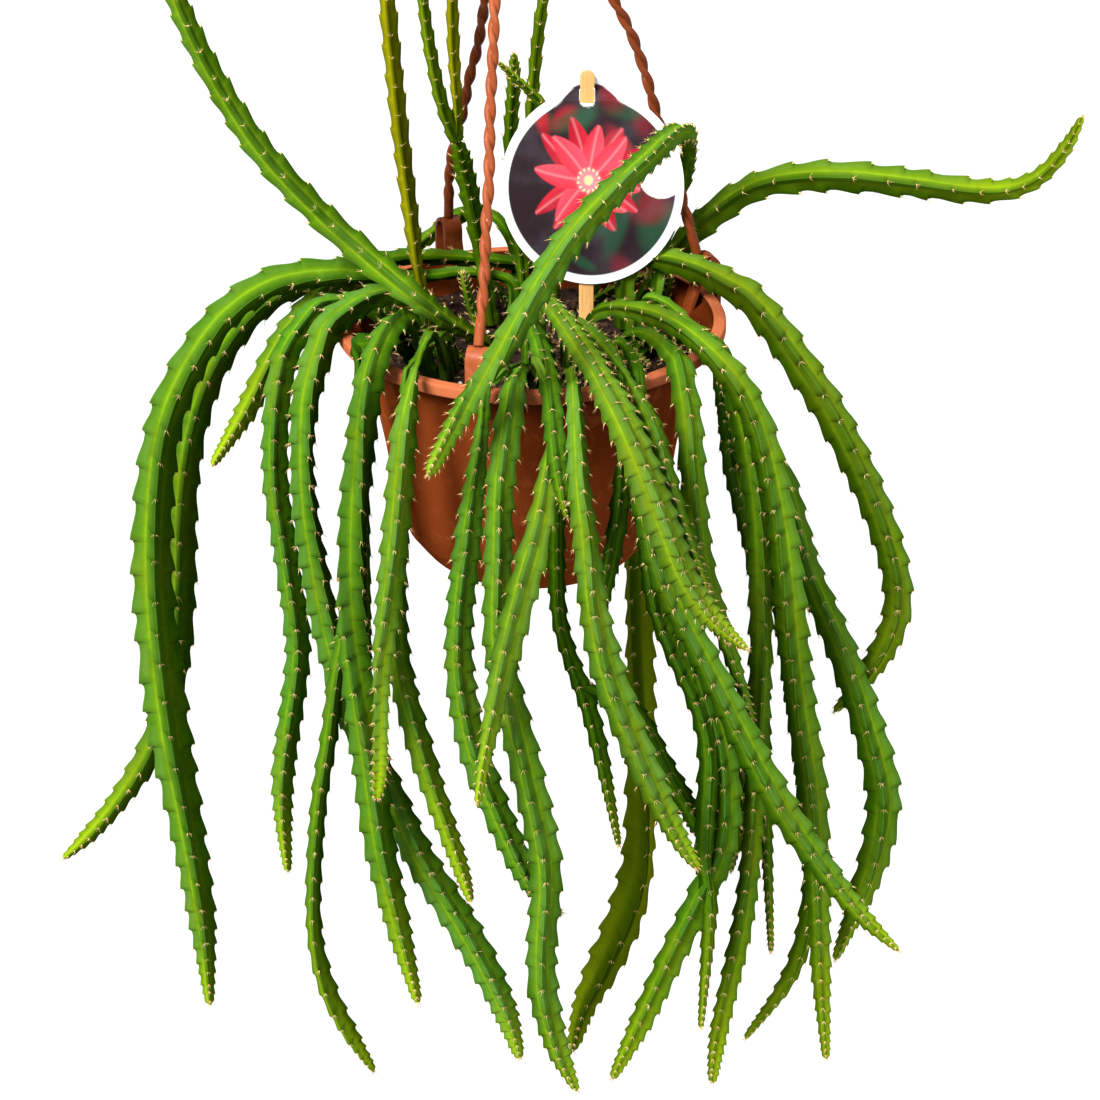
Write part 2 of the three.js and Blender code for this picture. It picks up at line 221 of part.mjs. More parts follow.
    [[20.5,-51.4,-302.6,3.4],[21.5,-57.7,-293.6,3.4],[22.4,-65.8,-286.9,3.2],[22.8,-70.8,-284.8,3.1],[23.1,-76.3,-283,3.4],[23.5,-81.9,-282.8,3.5],[23.8,-87.5,-282.7,3.5],[24,-92.7,-282.5,3.7],[25.6,-110.3,-307.6,5],[26.1,-113.7,-316.2,5.1],[28.9,-118.1,-339.5,5.8],[32.2,-119.7,-369.6,6.2],[36,-120,-390,7.3],[41.3,-120.1,-410.3,7.7],[59.6,-120,-460.5,6.5],[70.7,-120,-485.1,4.4],[78.7,-120,-499.3,2]],
  ] },
  stem_front_dark: { ribs: 3, green: 'dark', runs: [
    [[11.9,-29.2,-302.6,2.6],[12.4,-31.5,-289.5,2.6],[12.7,-33.5,-284.9,2.6],[13.2,-36.1,-283.4,2.6],[15.5,-57.8,-286.1,2.8],[16.4,-70.7,-284.9,2.2],[16.7,-76.7,-283.9,1.8],[16.9,-81.8,-283.7,1.7],[17,-86,-283.6,1.5],[17.1,-89.1,-283.5,1.4],[17,-91.3,-283.3,1.2],[16.8,-95.9,-338.2,4.7],[17.9,-96.6,-386,4.2],[20.9,-96.5,-401.7,4.2],[30.6,-96.3,-432.1,4.8],[35.6,-96.2,-453.2,4.5],[44.6,-96.1,-502.3,1.6]],
    [[27.4,-96.4,-421.9,3],[41.6,-94.6,-429,4.7],[53.2,-92.3,-440,5.3],[65.1,-87.8,-467.8,6.2],[75.8,-83.3,-490,5.6],[81.9,-81.5,-507,3.1]],
  ] },
  stem_front_inner: { ribs: 3, green: 'dark', runs: [
    [[27.4,-24.3,-302.6,2.6],[29.3,-26.5,-287.7,2.6],[30.5,-28.6,-282.5,2.6],[31.8,-31.6,-280.6,2.6],[38.5,-59.8,-283,3.5],[39.8,-65.3,-283,3.5],[41.1,-70.1,-282.8,3.5],[42.3,-74.1,-282.7,3],[43.3,-77.3,-282.5,2.4],[44.1,-79.8,-282.3,1.9],[44.6,-81.8,-282.2,1.4],[44.8,-83.4,-282,1.2],[44.9,-84.7,-299.3,2],[44.7,-86,-313.9,2.8],[43.5,-90.1,-338.8,5.1],[39.5,-97.9,-362,4.6],[35.4,-102.9,-385.6,2.6]],
  ] },
  stem_front_pale: { ribs: 4, green: 'light', runs: [
    [[7.4,-55.3,-302.6,2.5],[6.9,-69.3,-285,1.4],[7,-73,-280.4,1.5],[7.2,-76.2,-276.9,2.2],[7.8,-79.2,-274.7,2.5],[8.5,-82.2,-273.9,2.5],[10.5,-89,-275.4,2.5],[12.7,-97.1,-279.6,1.4],[15.3,-109,-288.1,2.5],[15.9,-115,-295.1,2.5],[15.1,-118.9,-303.1,2.6],[10.5,-124.2,-325.2,5.1],[4.1,-126.1,-354,6.9],[-4.2,-126.3,-389.2,6.3],[-11.3,-126.2,-425.6,4],[-17.4,-126.2,-463,1.5]],
  ] },
  stem_front_long: { ribs: 4, green: 'light', runs: [
    [[6.8,-45,-302.6,3.9],[4.4,-57.8,-289.5,2.6],[2.7,-69,-284,2.4],[1.8,-75.2,-282,3.2],[0.9,-81.3,-282,3.7],[-0,-86.9,-282,4.3],[-1,-91.7,-282,5],[-1.9,-95.5,-288.3,5.8],[-3.8,-100.7,-299.9,6.3],[-6.4,-105.8,-319.7,6.1],[-7.6,-108.2,-349.9,6.1],[-8.1,-108.5,-391.8,6.5],[-6.2,-108.4,-407.7,6.8],[2.6,-108.2,-450,7.4],[11.7,-108,-499,7.4],[12.2,-108,-515.9,7.1],[10.3,-108,-550.3,6.8],[11.5,-108,-573.6,7],[18,-108,-602.1,5.4],[26.3,-108,-623.9,1.8]],
  ] },
  stem_front_left_long: { ribs: 4, green: 'green', runs: [
    [[0.6,-40.6,-302.6,3.2],[1.1,-41.5,-296.6,3.2],[-0.6,-53.3,-290.3,2.6],[-3.7,-70.4,-284.5,2.9],[-5.2,-76.1,-282.2,2.9],[-6.8,-81.1,-282,2.7],[-8.6,-85.2,-282,1.8],[-10.5,-88.3,-282,1.3],[-12.3,-90.6,-282,2.1],[-14.1,-92.3,-298.5,2.9],[-20.5,-96.4,-348.7,6],[-25.1,-96.9,-396.2,6.1],[-23.5,-96.6,-428.3,6.7],[-17.2,-96.3,-460.1,7],[1.2,-96.1,-511.5,6],[8.4,-96.1,-526.1,3.9],[19.4,-96.1,-536.6,1.2]],
  ] },
  stem_right_low_forked: { ribs: 3, green: 'green', runs: [
    [[63.8,-10.1,-302.6,2.3],[70.8,-13.3,-292.5,2.9],[74.3,-15.1,-288.1,2.9],[77.7,-16.9,-284,3],[81.1,-18.5,-283.9,3.1],[84.3,-19.7,-283.7,3.2],[87.2,-20.5,-283.6,3.3],[89.9,-20.9,-283.6,3.4],[92.2,-21.1,-283.5,3.5],[94.3,-21.3,-283.5,3.5],[96.2,-21.6,-297.5,3.5],[100.8,-23.2,-329.2,3.3],[109.8,-30.9,-372.3,3.5],[113.9,-33.3,-398.6,3.6],[122.7,-34.2,-453.4,3.6],[132,-34.1,-516.1,4.6],[135.6,-34,-557.4,4.7],[132.4,-34,-593.1,5.2],[125,-34,-615.4,4.6],[106.8,-34,-645.1,1.7]],
    [[132.8,-34.1,-522,3.2],[141.1,-34.1,-542.7,3.3],[153.1,-34.1,-561.2,1.2]],
  ] },
  stem_back_arch: { ribs: 4, green: 'dark', runs: [
    [[-0.5,48.5,-302.6,3.2],[-1.2,58,-290,3.2],[-1.7,59.8,-285.6,2.9],[-2.4,60,-280.5,3.3],[-5.2,59,-270.3,3.5],[-7.9,58.5,-266.4,3.6],[-16.8,58.2,-264.4,3.6],[-25.9,58.1,-264.5,3.6],[-35,58.5,-267.3,3.6],[-43.4,59.5,-272.4,3.6],[-51,61,-278.4,3.4],[-54.5,61.9,-281.3,3.2],[-57.9,62.8,-284,3],[-61.1,63.8,-284.5,2.3],[-64.3,64.8,-298.7,1.4]],
  ] },
  shoot_centre: { ribs: 4, green: 'green', runs: [
    [[-17.3,20.9,-302.6,2.2],[-20.4,25.2,-297.2,2.2],[-21.5,26,-293.7,2.4],[-24.9,25.7,-277.5,1.8]],
  ] },
  shoot_on_soil: { ribs: 3, green: 'dark', runs: [
    [[-32.1,-16.9,-302.6,2.6],[-36.3,-19.5,-291.5,2.6],[-20.6,-23,-301.1,1.7]],
  ] },
  shoot_thin: { ribs: 3, green: 'green', runs: [
    [[27.6,30.8,-302.6,2.3],[31.8,36.9,-297.8,2.3],[35.3,37.9,-295.2,2.4],[47.7,37.5,-287.6,2.7],[56.6,37.1,-283.5,1.8]],
  ] },
  shoot_broad: { ribs: 3, green: 'dark', runs: [
    [[54.2,26.2,-302.6,3.2],[61.6,32.9,-297.3,3],[63.7,34.3,-294.4,3.4],[64.9,34.9,-291.3,3.5],[66,35.2,-288.2,3.4],[67.1,35.5,-285.2,2.7],[68.2,35.8,-282.2,1.8]],
  ] },
  shoot_small: { ribs: 3, green: 'dark', runs: [
    [[37,-12.1,-302.6,1.6],[42,-12.2,-298.5,1.6],[48.6,-14.3,-297.6,1.1],[57,-23,-301.5,1.2]],
  ] },
  shoot_short: { ribs: 4, green: 'green', runs: [
    [[-12.8,36.2,-302.6,2.7],[-15.4,42.1,-292.1,2.7],[-14.8,44.2,-290.4,2.7],[-10.1,44.9,-293.1,2.7],[-3.2,44.2,-301.2,1.6]],
  ] },
};

const root = new THREE.Group();
const put = (name, geometry, material) => {
  const m = new THREE.Mesh(geometry, material);
  m.name = name;
  root.add(m);
  return m;
};

// the roots end flat, just above the soil
const ground = new THREE.CylinderGeometry(76, 76, 20, 24);
ground.rotateX(Math.PI / 2);
ground.translate(PIVOT_X, 0, RIM_Z - SOIL_DROP + GAP - 10);
for (const [name, s] of Object.entries(STEMS)) {
  let m = solid(stem(s.runs[0], s.ribs));
  for (const run of s.runs.slice(1)) m = m.add(solid(stem(run, s.ribs)));
  m = m.subtract(solid(ground));
  put(name, back(m), mat(name + '_skin', COL[s.green], 0.45));
}

// ---------- pot ----------
const V2 = (r, z) => new THREE.Vector2(r, z);
const lathe = (pts, seg = 32) => {
  const g = new THREE.LatheGeometry(pts.map((p) => V2(p[0], p[1])), seg);
  g.rotateX(Math.PI / 2);
  return g;
};
const potProfile = [
  [0, -POT_HEIGHT], [BASE_RADIUS, -POT_HEIGHT], [47, -110.5], [51.6, -104.9], [54.5, -101],
  [59.5, -88], [63.2, -72], [65.2, -58], [70, -34], [75.5, -10], [77, -RIM_BAND - 1],
  [85.4, -RIM_BAND - 0.5], [RIM_OUTER, -RIM_BAND + 0.2], [RIM_OUTER, -0.6], [85.5, 0], [RIM_INNER, 0],
  [79.9, -3.4], [75.6, -5.6], [73.4, -10], [67.9, -34], [63.1, -58], [61.1, -72],
  [57.5, -87.5], [52.8, -99.6], [45.5, -108.2], [41.5, -POT_HEIGHT + 2.5], [0, -POT_HEIGHT + 2.5],
];
let pot = solid(lathe(potProfile));
for (let k = 0; k < 4; k++) {
  const h = new THREE.CylinderGeometry(4, 4, 12, 12);
  h.rotateX(Math.PI / 2);
  h.translate(28 * Math.cos(k * Math.PI / 2 + 0.6), 28 * Math.sin(k * Math.PI / 2 + 0.6), -POT_HEIGHT);
  pot = pot.subtract(solid(h));
}
const potMesh = put('pot', back(pot), mat('pot_plastic', 0x96502f, 0.5));
potMesh.position.set(PIVOT_X, 0, RIM_Z);

// ---------- soil ----------
const soilProfile = [
  [0, -POT_HEIGHT + 2.9], [41.2, -POT_HEIGHT + 2.9], [45.0, -108 + 0.2], [52.4, -99.3], [57.1, -87.3],
  [60.7, -72], [62.7, -58], [67.5, -34], [72.1, -SOIL_DROP], [0, -SOIL_DROP],
];
const soil = put('soil', lathe(soilProfile, 32), mat('soil_peat', 0x2a1c12, 0.95));
soil.position.set(PIVOT_X, 0, RIM_Z);

// ---------- hanger ----------
const ARMS = {
  front: [[-16,-80,-269.4],[-13.5,-70.4,-243.3],[-12.7,-63.3,-223.3],[-11.4,-56.1,-203.4],[-10.9,-47.2,-178.4],[-9.6,-38.4,-153.6],[-8.8,-31.3,-133.9],[-6.6,-20.9,-105],[-1.1,-4.5,-60.7]],
  back_left: [[-32.3,73.7,-269.4],[-31.5,67.1,-248.6],[-30,62.4,-234.5],[-24.5,54.7,-211.5],[-21.3,48.8,-193.7],[-17.5,43.6,-178.2],[-14.1,35.8,-154.9],[-8.5,23.4,-117.9],[-2.1,4.1,-60.7]],
  right: [[84.1,27,-269.4],[73.2,26.1,-235.9],[61.6,23.4,-203],[55.7,20.6,-184.2],[48.9,16.5,-163.5],[41.4,13,-147.7],[25.9,7.9,-113.4],[4.3,1.5,-60.7]]
};
const ring = (r, n) => {
  const s = new THREE.Shape();
  for (let k = 0; k < n; k++) {
    const a = (k / n) * Math.PI * 2;
    if (k === 0) s.moveTo(r * Math.cos(a), r * Math.sin(a)); else s.lineTo(r * Math.cos(a), r * Math.sin(a));
  }
  s.closePath();
  return s;
};
const tube = (pts, r, steps, sides = 8) => new THREE.ExtrudeGeometry(ring(r, sides), {
  steps, bevelEnabled: false,
  extrudePath: new THREE.CatmullRomCurve3(pts.map((p) => new THREE.Vector3(...p)), false, 'centripetal'),
});
// clip: an inverted U that straddles the rim, with a small tooth under the band
function clip(azimuth) {
  const s = new THREE.Shape();
  const ri = 77.6 - CLIP_MID, ro = 88.2 - CLIP_MID, t = 1.7, top = CLIP_TOP, k = 5.4;
  s.moveTo(70.3 - CLIP_MID, -10.6);
  s.lineTo(72.1 - CLIP_MID, -10.6);
  s.lineTo(74.4 - CLIP_MID, -4.9);
  s.lineTo(ri + t, -2.4);
  s.lineTo(ri + t, top - k);
  s.lineTo(ri + t + 1.2, top - k + 2.4);
  s.lineTo(0, top - t);
  s.lineTo(ro - t - 1.2, top - k + 2.4);
  s.lineTo(ro - t, top - k);
  s.lineTo(ro - t, -RIM_BAND - 0.9);
  s.lineTo(ro - t - 2.4, -RIM_BAND - 1.1);
  s.lineTo(ro - t - 1.8, -RIM_BAND - 2.7);
  s.lineTo(ro, -RIM_BAND - 2.7);
  s.lineTo(ro, top - k);
  s.lineTo(ro - 1.6, top - 1.6);
  s.lineTo(1.5, top);
  s.lineTo(-1.5, top);
  s.lineTo(ri + 1.6, top - 1.6);
  s.lineTo(ri, top - k);
  s.lineTo(ri, -1.8);
  s.lineTo(72.5 - CLIP_MID, -4.5);
  s.closePath();
  const g = new THREE.ExtrudeGeometry(s, { depth: CLIP_WIDTH, steps: 1, bevelEnabled: false });
  g.translate(0, 0, -CLIP_WIDTH / 2);
  g.rotateX(Math.PI / 2);
  g.translate(CLIP_MID, 0, 0);
  g.rotateZ(azimuth * Math.PI / 180);
  g.translate(PIVOT_X, 0, RIM_Z);
  return g;
}
for (const [name, pts] of Object.entries(ARMS)) {
  const arm = solid(tube(pts, STRAND_R, 14)).add(solid(clip(CLIP_AZIMUTH[name])));
  put('hanger_arm_' + name, back(arm), mat('hanger_plastic_' + name, 0xb0643f, 0.45));
}
// hub, shank and hook
const hub = lathe([[0, 0.6], [7.4, 0.6], [7.6, 2.4], [4.4, 8], [3.2, 11], [0, 11]], 16);
hub.translate(0, 0, HUB_Z);
const hookPath = [[0, 0, HUB_Z + 8], [0, 0, HUB_Z + 20], [0, 0, -38]];
const cz = -HOOK_R + HOOK_WIRE - 0.0;
hookPath.push([-3, 0, -30], [-9.5, 0, cz - 9.6]);
for (let d = 205; d >= -25; d -= 23) {
  hookPath.push([HOOK_R * Math.cos(d * Math.PI / 180), 0, cz + HOOK_R * Math.sin(d * Math.PI / 180)]);
}
const hook = solid(hub).add(solid(tube(hookPath, HOOK_WIRE, 28)));
put('hanger_hook', back(hook), mat('hanger_plastic_hook', 0xb0643f, 0.45));

// ---------- label plate and its stick ----------
// Outline seen from the front: disc with an ear, and a slot in the ear that the stick passes.
const out = new THREE.Shape();
{
  const d = EAR_C[1] - PLATE_C[2], ex = EAR_C[0] - PLATE_C[0];
  const a1 = 62, a2 = 121;
  const pts = [];
  for (let k = 0; k <= 44; k++) {
    const a = (a2 + (360 - a2 + a1) * (k / 44)) * Math.PI / 180;
    pts.push([PLATE_R * Math.cos(a), PLATE_R * Math.sin(a)]);
  }
  for (let k = 0; k <= 14; k++) {
    const a = (-4 + 188 * (k / 14)) * Math.PI / 180;
    pts.push([ex + EAR_R * Math.cos(a), d + EAR_R * Math.sin(a)]);
  }
  pts.forEach((p, i) => (i === 0 ? out.moveTo(p[0], p[1]) : out.lineTo(p[0], p[1])));
  out.closePath();
}
const disc = new THREE.ExtrudeGeometry(out, { depth: 30, steps: 1, bevelEnabled: false });
disc.rotateX(Math.PI / 2);
disc.translate(PLATE_C[0], PLATE_C[1] + 15, PLATE_C[2]);
// side view: the sheet lies in front of the stick, and above the slot it passes behind it
const z0 = PLATE_C[2] - PLATE_R - 5, zs = SLOT_Z, shift = 4.4, ramp = 2.4;
const side = new THREE.Shape();
side.moveTo(-PLATE_T / 2, z0);
side.lineTo(PLATE_T / 2, z0);
side.lineTo(PLATE_T / 2, zs - ramp);
side.lineTo(PLATE_T / 2 + shift, zs + ramp);
side.lineTo(PLATE_T / 2 + shift, zs + 40);
side.lineTo(-PLATE_T / 2 + shift, zs + 40);
side.lineTo(-PLATE_T / 2 + shift, zs + ramp);
side.lineTo(-PLATE_T / 2, zs - ramp);
side.closePath();
const sheet = new THREE.ExtrudeGeometry(side, { depth: 120, steps: 1, bevelEnabled: false });
// shape x -> +Y, shape y -> +Z, extrusion -> X
const basis = new THREE.Matrix4().makeBasis(new THREE.Vector3(0, 1, 0), new THREE.Vector3(0, 0, 1), new THREE.Vector3(1, 0, 0));
sheet.applyMatrix4(basis);
sheet.translate(PLATE_C[0] - 60, PLATE_C[1], 0);
const slot = new THREE.BoxGeometry(STICK_W + 1.4, 30, SLOT_H);
slot.translate(EAR_C[0] + 0.2, PLATE_C[1], zs);
const plate = solid(sheet).intersect(solid(disc)).subtract(solid(slot));
put('label_plate', back(plate), mat('label_print', 0xe9e6e4, 0.35));

const stickTop = -183.6, stickBottom = RIM_Z - SOIL_DROP + GAP;
const st = new THREE.Shape();
{
  const w = STICK_W / 2, h = stickTop - stickBottom;
  st.moveTo(-w, 0);
  st.lineTo(w, 0);
  st.lineTo(w, h - w);
  for (let k = 1; k < 8; k++) {
    const a = (k / 8) * Math.PI;
    st.lineTo(w * Math.cos(a), h - w + w * Math.sin(a));
  }
  st.lineTo(-w, h - w);
  st.closePath();
}
const stick = new THREE.ExtrudeGeometry(st, { depth: STICK_T, steps: 1, bevelEnabled: false });
stick.rotateX(Math.PI / 2);
stick.translate(EAR_C[0] + 0.2, PLATE_C[1] + 0.4 + 0.4 + STICK_T, stickBottom);
put('label_stick', stick, mat('wood_stick', 0xc99a5b, 0.7));

export default root;
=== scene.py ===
import bpy, bmesh, math
import numpy as np
from mathutils import Vector, Matrix, noise as mnoise


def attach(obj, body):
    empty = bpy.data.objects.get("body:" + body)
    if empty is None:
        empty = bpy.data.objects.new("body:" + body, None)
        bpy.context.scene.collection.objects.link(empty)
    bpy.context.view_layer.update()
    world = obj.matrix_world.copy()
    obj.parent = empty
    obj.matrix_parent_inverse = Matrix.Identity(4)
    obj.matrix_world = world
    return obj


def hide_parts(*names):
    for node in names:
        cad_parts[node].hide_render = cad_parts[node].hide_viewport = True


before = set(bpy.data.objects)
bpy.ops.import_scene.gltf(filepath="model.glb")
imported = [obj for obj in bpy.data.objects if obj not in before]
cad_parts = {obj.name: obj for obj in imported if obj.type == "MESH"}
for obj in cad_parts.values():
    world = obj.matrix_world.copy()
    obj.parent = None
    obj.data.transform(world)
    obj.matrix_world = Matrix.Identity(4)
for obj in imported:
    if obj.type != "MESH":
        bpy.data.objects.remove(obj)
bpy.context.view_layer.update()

MM = 0.001
RIM_Z = -288.0          # top of the rim, mm
PX = 5.7                # pot axis, mm
SOIL = RIM_Z - 15.0

# ------------------------------------------------------------------ camera
cam_data = bpy.data.cameras.new("camera")
cam_data.sensor_width = 36.0
cam_data.lens = 3621.19 / 1100.0 * 36.0
cam_data.clip_end = 50
cam = bpy.data.objects.new("camera", cam_data)
bpy.context.scene.collection.objects.link(cam)
CAM = np.array([14.052, -1480.238, 319.369])
PITCH = 0.453904
cam.location = tuple(CAM * MM)
cam.rotation_euler = (math.pi / 2 - PITCH, 0, 0)
bpy.context.scene.camera = cam

# ------------------------------------------------------------------ small helpers
def lin(r, g, b):
    def f(c):
        c = c / 255.0
        return c / 12.92 if c <= 0.04045 else ((c + 0.055) / 1.055) ** 2.4
    return (f(r), f(g), f(b), 1.0)

def new_obj(name, verts, faces, mats, smooth=True, mat_index=None, attrs=None, replaces=None):
    me = bpy.data.meshes.new(name)
    V = np.asarray(verts, dtype=np.float64) * MM
    me.from_pydata(V.tolist(), [], faces if isinstance(faces, list) else faces.tolist())
    me.validate(clean_customdata=False)
    for m in (mats if isinstance(mats, (list, tuple)) else [mats]):
        me.materials.append(m)
    if smooth:
        me.polygons.foreach_set("use_smooth", [True] * len(me.polygons))
    if mat_index is not None:
        me.polygons.foreach_set("material_index", list(mat_index))
    for k, v in (attrs or {}).items():
        a = me.color_attributes.new(name=k, type="FLOAT_COLOR", domain="POINT")
        a.data.foreach_set("color", np.asarray(v, dtype=np.float32).ravel())
    me.update()
    ob = bpy.data.objects.new(name, me)
    bpy.context.scene.collection.objects.link(ob)
    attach(ob, "root")
    if replaces:
        for n in (replaces if isinstance(replaces, (list, tuple)) else [replaces]):
            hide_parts(n)
    return ob

def sharpen(ob, angle=35):
    # smooth shading with hard edges above an angle
    me = ob.data
    bm = bmesh.new(); bm.from_mesh(me)
    for e in bm.edges:
        if len(e.link_faces) == 2 and e.calc_face_angle(0) > math.radians(angle):
            e.smooth = False
    bm.to_mesh(me); bm.free()

class Mesh:
    def __init__(self):
        self.v = []; self.f = []; self.m = []; self.n = 0; self.a = []
    def add(self, V, F, mi=0, attr=None):
        V = np.asarray(V, float)
        self.v.append(V)
        for q in F:
            self.f.append([i + self.n for i in q]); self.m.append(mi)
        if attr is not None:
            self.a.append(np.tile(np.asarray(attr, float), (len(V), 1)) if np.ndim(attr) == 1 else attr)
        self.n += len(V)
    def verts(self):
        return np.concatenate(self.v)

# ------------------------------------------------------------------ material nodes
def mat_new(name):
    m = bpy.data.materials.new(name)
    m.use_nodes = True
    nt = m.node_tree
    for n in list(nt.nodes):
        nt.nodes.remove(n)
    out = nt.nodes.new("ShaderNodeOutputMaterial")
    b = nt.nodes.new("ShaderNodeBsdfPrincipled")
    nt.links.new(b.outputs[0], out.inputs[0])
    return m, nt, b

def N(nt, kind, **kw):
    n = nt.nodes.new(kind)
    for k, v in kw.items():
        setattr(n, k, v)
    return n

def L(nt, a, b):
    nt.links.new(a, b)

def noise_tex(nt, scale, detail=4, rough=0.55, coord=None, dist=0.0):
    t = N(nt, "ShaderNodeTexNoise")
    t.inputs["Scale"].default_value = scale
    t.inputs["Detail"].default_value = detail
    t.inputs["Roughness"].default_value = rough
    t.inputs["Distortion"].default_value = dist
    if coord is not None:
        L(nt, coord, t.inputs["Vector"])
    return t

def ramp(nt, src, stops, interp="LINEAR"):
    r = N(nt, "ShaderNodeValToRGB")
    r.color_ramp.interpolation = interp
    el = r.color_ramp.elements
    while len(el) > 1:
        el.remove(el[-1])
    el[0].position = stops[0][0]; el[0].color = stops[0][1]
    for p, c in stops[1:]:
        e = el.new(p); e.color = c
    L(nt, src, r.inputs[0])
    return r

def mix(nt, fac, a, b, blend="MIX"):
    m = N(nt, "ShaderNodeMix", data_type="RGBA", blend_type=blend)
    for sock, v in ((m.inputs[0], fac), (m.inputs[6], a), (m.inputs[7], b)):
        if hasattr(v, "is_output") or isinstance(v, bpy.types.NodeSocket):
            L(nt, v, sock)
        else:
            sock.default_value = v
    return m.outputs[2]

def math_n(nt, op, a, b=None, c=None, clamp=False):
    m = N(nt, "ShaderNodeMath", operation=op)
    m.use_clamp = clamp
    for i, v in enumerate((a, b, c)):
        if v is None:
            continue
        if isinstance(v, bpy.types.NodeSocket):
            L(nt, v, m.inputs[i])
        else:
            m.inputs[i].default_value = v
    return m.outputs[0]

def maprange(nt, v, a, b, c=0.0, d=1.0, smooth=False):
    m = N(nt, "ShaderNodeMapRange")
    if smooth:
        m.interpolation_type = "SMOOTHSTEP"
    L(nt, v, m.inputs[0])
    for i, x in zip((1, 2, 3, 4), (a, b, c, d)):
        m.inputs[i].default_value = x
    return m.outputs[0]

def bump(nt, bsdf, height, strength=0.3, dist=0.001):
    bp = N(nt, "ShaderNodeBump")
    bp.inputs["Strength"].default_value = strength
    bp.inputs["Distance"].default_value = dist
    L(nt, height, bp.inputs["Height"])
    L(nt, bp.outputs[0], bsdf.inputs["Normal"])
    return bp

def objcoord(nt):
    return N(nt, "ShaderNodeTexCoord").outputs["Object"]

# skin of the cactus. Vertex colour "tone": R ridge(0)..valley(1), G nearness of the tip,
# B place between two areoles, A random per stem. "look": R bloom and painted sheen, G yellow, B painted shade, A light
# strip
def skin_material():
    m, nt, b = mat_new("cactus_skin")
    tone = N(nt, "ShaderNodeAttribute", attribute_name="tone")
    look = N(nt, "ShaderNodeAttribute", attribute_name="look")
    ts = N(nt, "ShaderNodeSeparateColor"); L(nt, tone.outputs["Color"], ts.inputs[0])
    ls = N(nt, "ShaderNodeSeparateColor"); L(nt, look.outputs["Color"], ls.inputs[0])
    co = objcoord(nt)
    n1 = noise_tex(nt, 60, 3, 0.5, co)       # 15 mm patches
    n2 = noise_tex(nt, 320, 4, 0.6, co)      # 3 mm mottling
    n3 = noise_tex(nt, 1400, 3, 0.6, co)     # fine grain
    # distance from the ridge, disturbed a little
    u = math_n(nt, "ADD", ts.outputs[0], math_n(nt, "MULTIPLY", math_n(nt, "SUBTRACT", n2.outputs[0], 0.5), 0.16))
    # base colour across the rib: painted highlight on the ridge crest and painted shade in the narrow band just beside
    # it
    base = ramp(nt, u, [(0.0, lin(76, 128, 28)), (0.05, lin(66, 118, 20)), (0.11, lin(40, 86, 3)), (0.30, lin(48, 96, 3)), (0.60, lin(56, 102, 2)), (0.85, lin(68, 112, 4)), (1.0, lin(84, 124, 8))])
    strip = ramp(nt, u, [(0.0, (0, 0, 0, 1)), (0.66, (0, 0, 0, 1)), (0.90, (0.22, 0.22, 0.22, 1)), (1.0, (0.60, 0.60, 0.60, 1))], "EASE")
    c = mix(nt, math_n(nt, "MULTIPLY", strip.outputs[0], look.outputs["Alpha"]), base.outputs[0], lin(122, 156, 40))
    # broad light and deep patches
    c = mix(nt, maprange(nt, n1.outputs[0], 0.42, 0.72, 0, 0.50, True), c, lin(30, 74, 1))
    c = mix(nt, maprange(nt, n2.outputs[0], 0.45, 0.75, 0, 0.30, True), c, lin(80, 120, 14))
    n4 = noise_tex(nt, 26, 2, 0.5, co)       # 40 mm patches
    c = mix(nt, maprange(nt, n4.outputs[0], 0.50, 0.68, 0, 0.45, True), c, lin(92, 110, 4))
    # bluish wax bloom and painted sheen on the flanks between ridge and strip
    fl = ramp(nt, u, [(0.0, (0.55, 0.55, 0.55, 1)), (0.10, (1, 1, 1, 1)), (0.55, (0.9, 0.9, 0.9, 1)), (0.85, (0.12, 0.12, 0.12, 1)), (1.0, (0, 0, 0, 1))])
    bl = math_n(nt, "MULTIPLY", fl.outputs[0], ls.outputs[0])
    bl = math_n(nt, "MULTIPLY", bl, maprange(nt, n1.outputs[0], 0.30, 0.62, 0.35, 1.0, True))
    c = mix(nt, math_n(nt, "MULTIPLY", bl, 0.85), c, lin(92, 138, 58))
    # pale scuffs
    sc = maprange(nt, noise_tex(nt, 150, 6, 0.75, co, 1.2).outputs[0], 0.62, 0.74, 0, 0.35, True)
    c = mix(nt, math_n(nt, "MULTIPLY", sc, 0.6), c, lin(124, 156, 84))
    # yellowed stems, young tips; painted shade on shaded stems and on faces turned inwards, darker near the root
    c = mix(nt, math_n(nt, "MULTIPLY", ls.outputs[1], 0.85), c, mix(nt, u, lin(108, 104, 4), lin(138, 130, 10)))
    tipc = mix(nt, u, lin(112, 140, 8), lin(146, 170, 20))
    c = mix(nt, math_n(nt, "MULTIPLY", ts.outputs[1], 0.85), c, tipc)
    c = mix(nt, math_n(nt, "MULTIPLY", ls.outputs[2], 0.80), c, mix(nt, u, lin(8, 28, 0), lin(18, 46, 0)))
    # painted shade in the crease behind each areole
    cr = ramp(nt, ts.outputs[2], [(0.0, (0.40, 0.40, 0.40, 1)), (0.35, (0.40, 0.40, 0.40, 1)), (1.0, (1, 1, 1, 1))])
    crm = math_n(nt, "MULTIPLY", cr.outputs[0], maprange(nt, ts.outputs[0], 0.0, 0.8, 0.75, 0.0, True))
    c = mix(nt, crm, c, lin(24, 52, 6))
    L(nt, c, b.inputs["Base Color"])
    L(nt, maprange(nt, n2.outputs[0], 0.3, 0.7, 0.38, 0.54), b.inputs["Roughness"])
    b.inputs["Specular IOR Level"].default_value = 0.0
    h = math_n(nt, "ADD", math_n(nt, "MULTIPLY", n2.outputs[0], 0.7), math_n(nt, "MULTIPLY", n3.outputs[0], 0.3))
    bump(nt, b, h, 0.35, 0.0008)
    return m

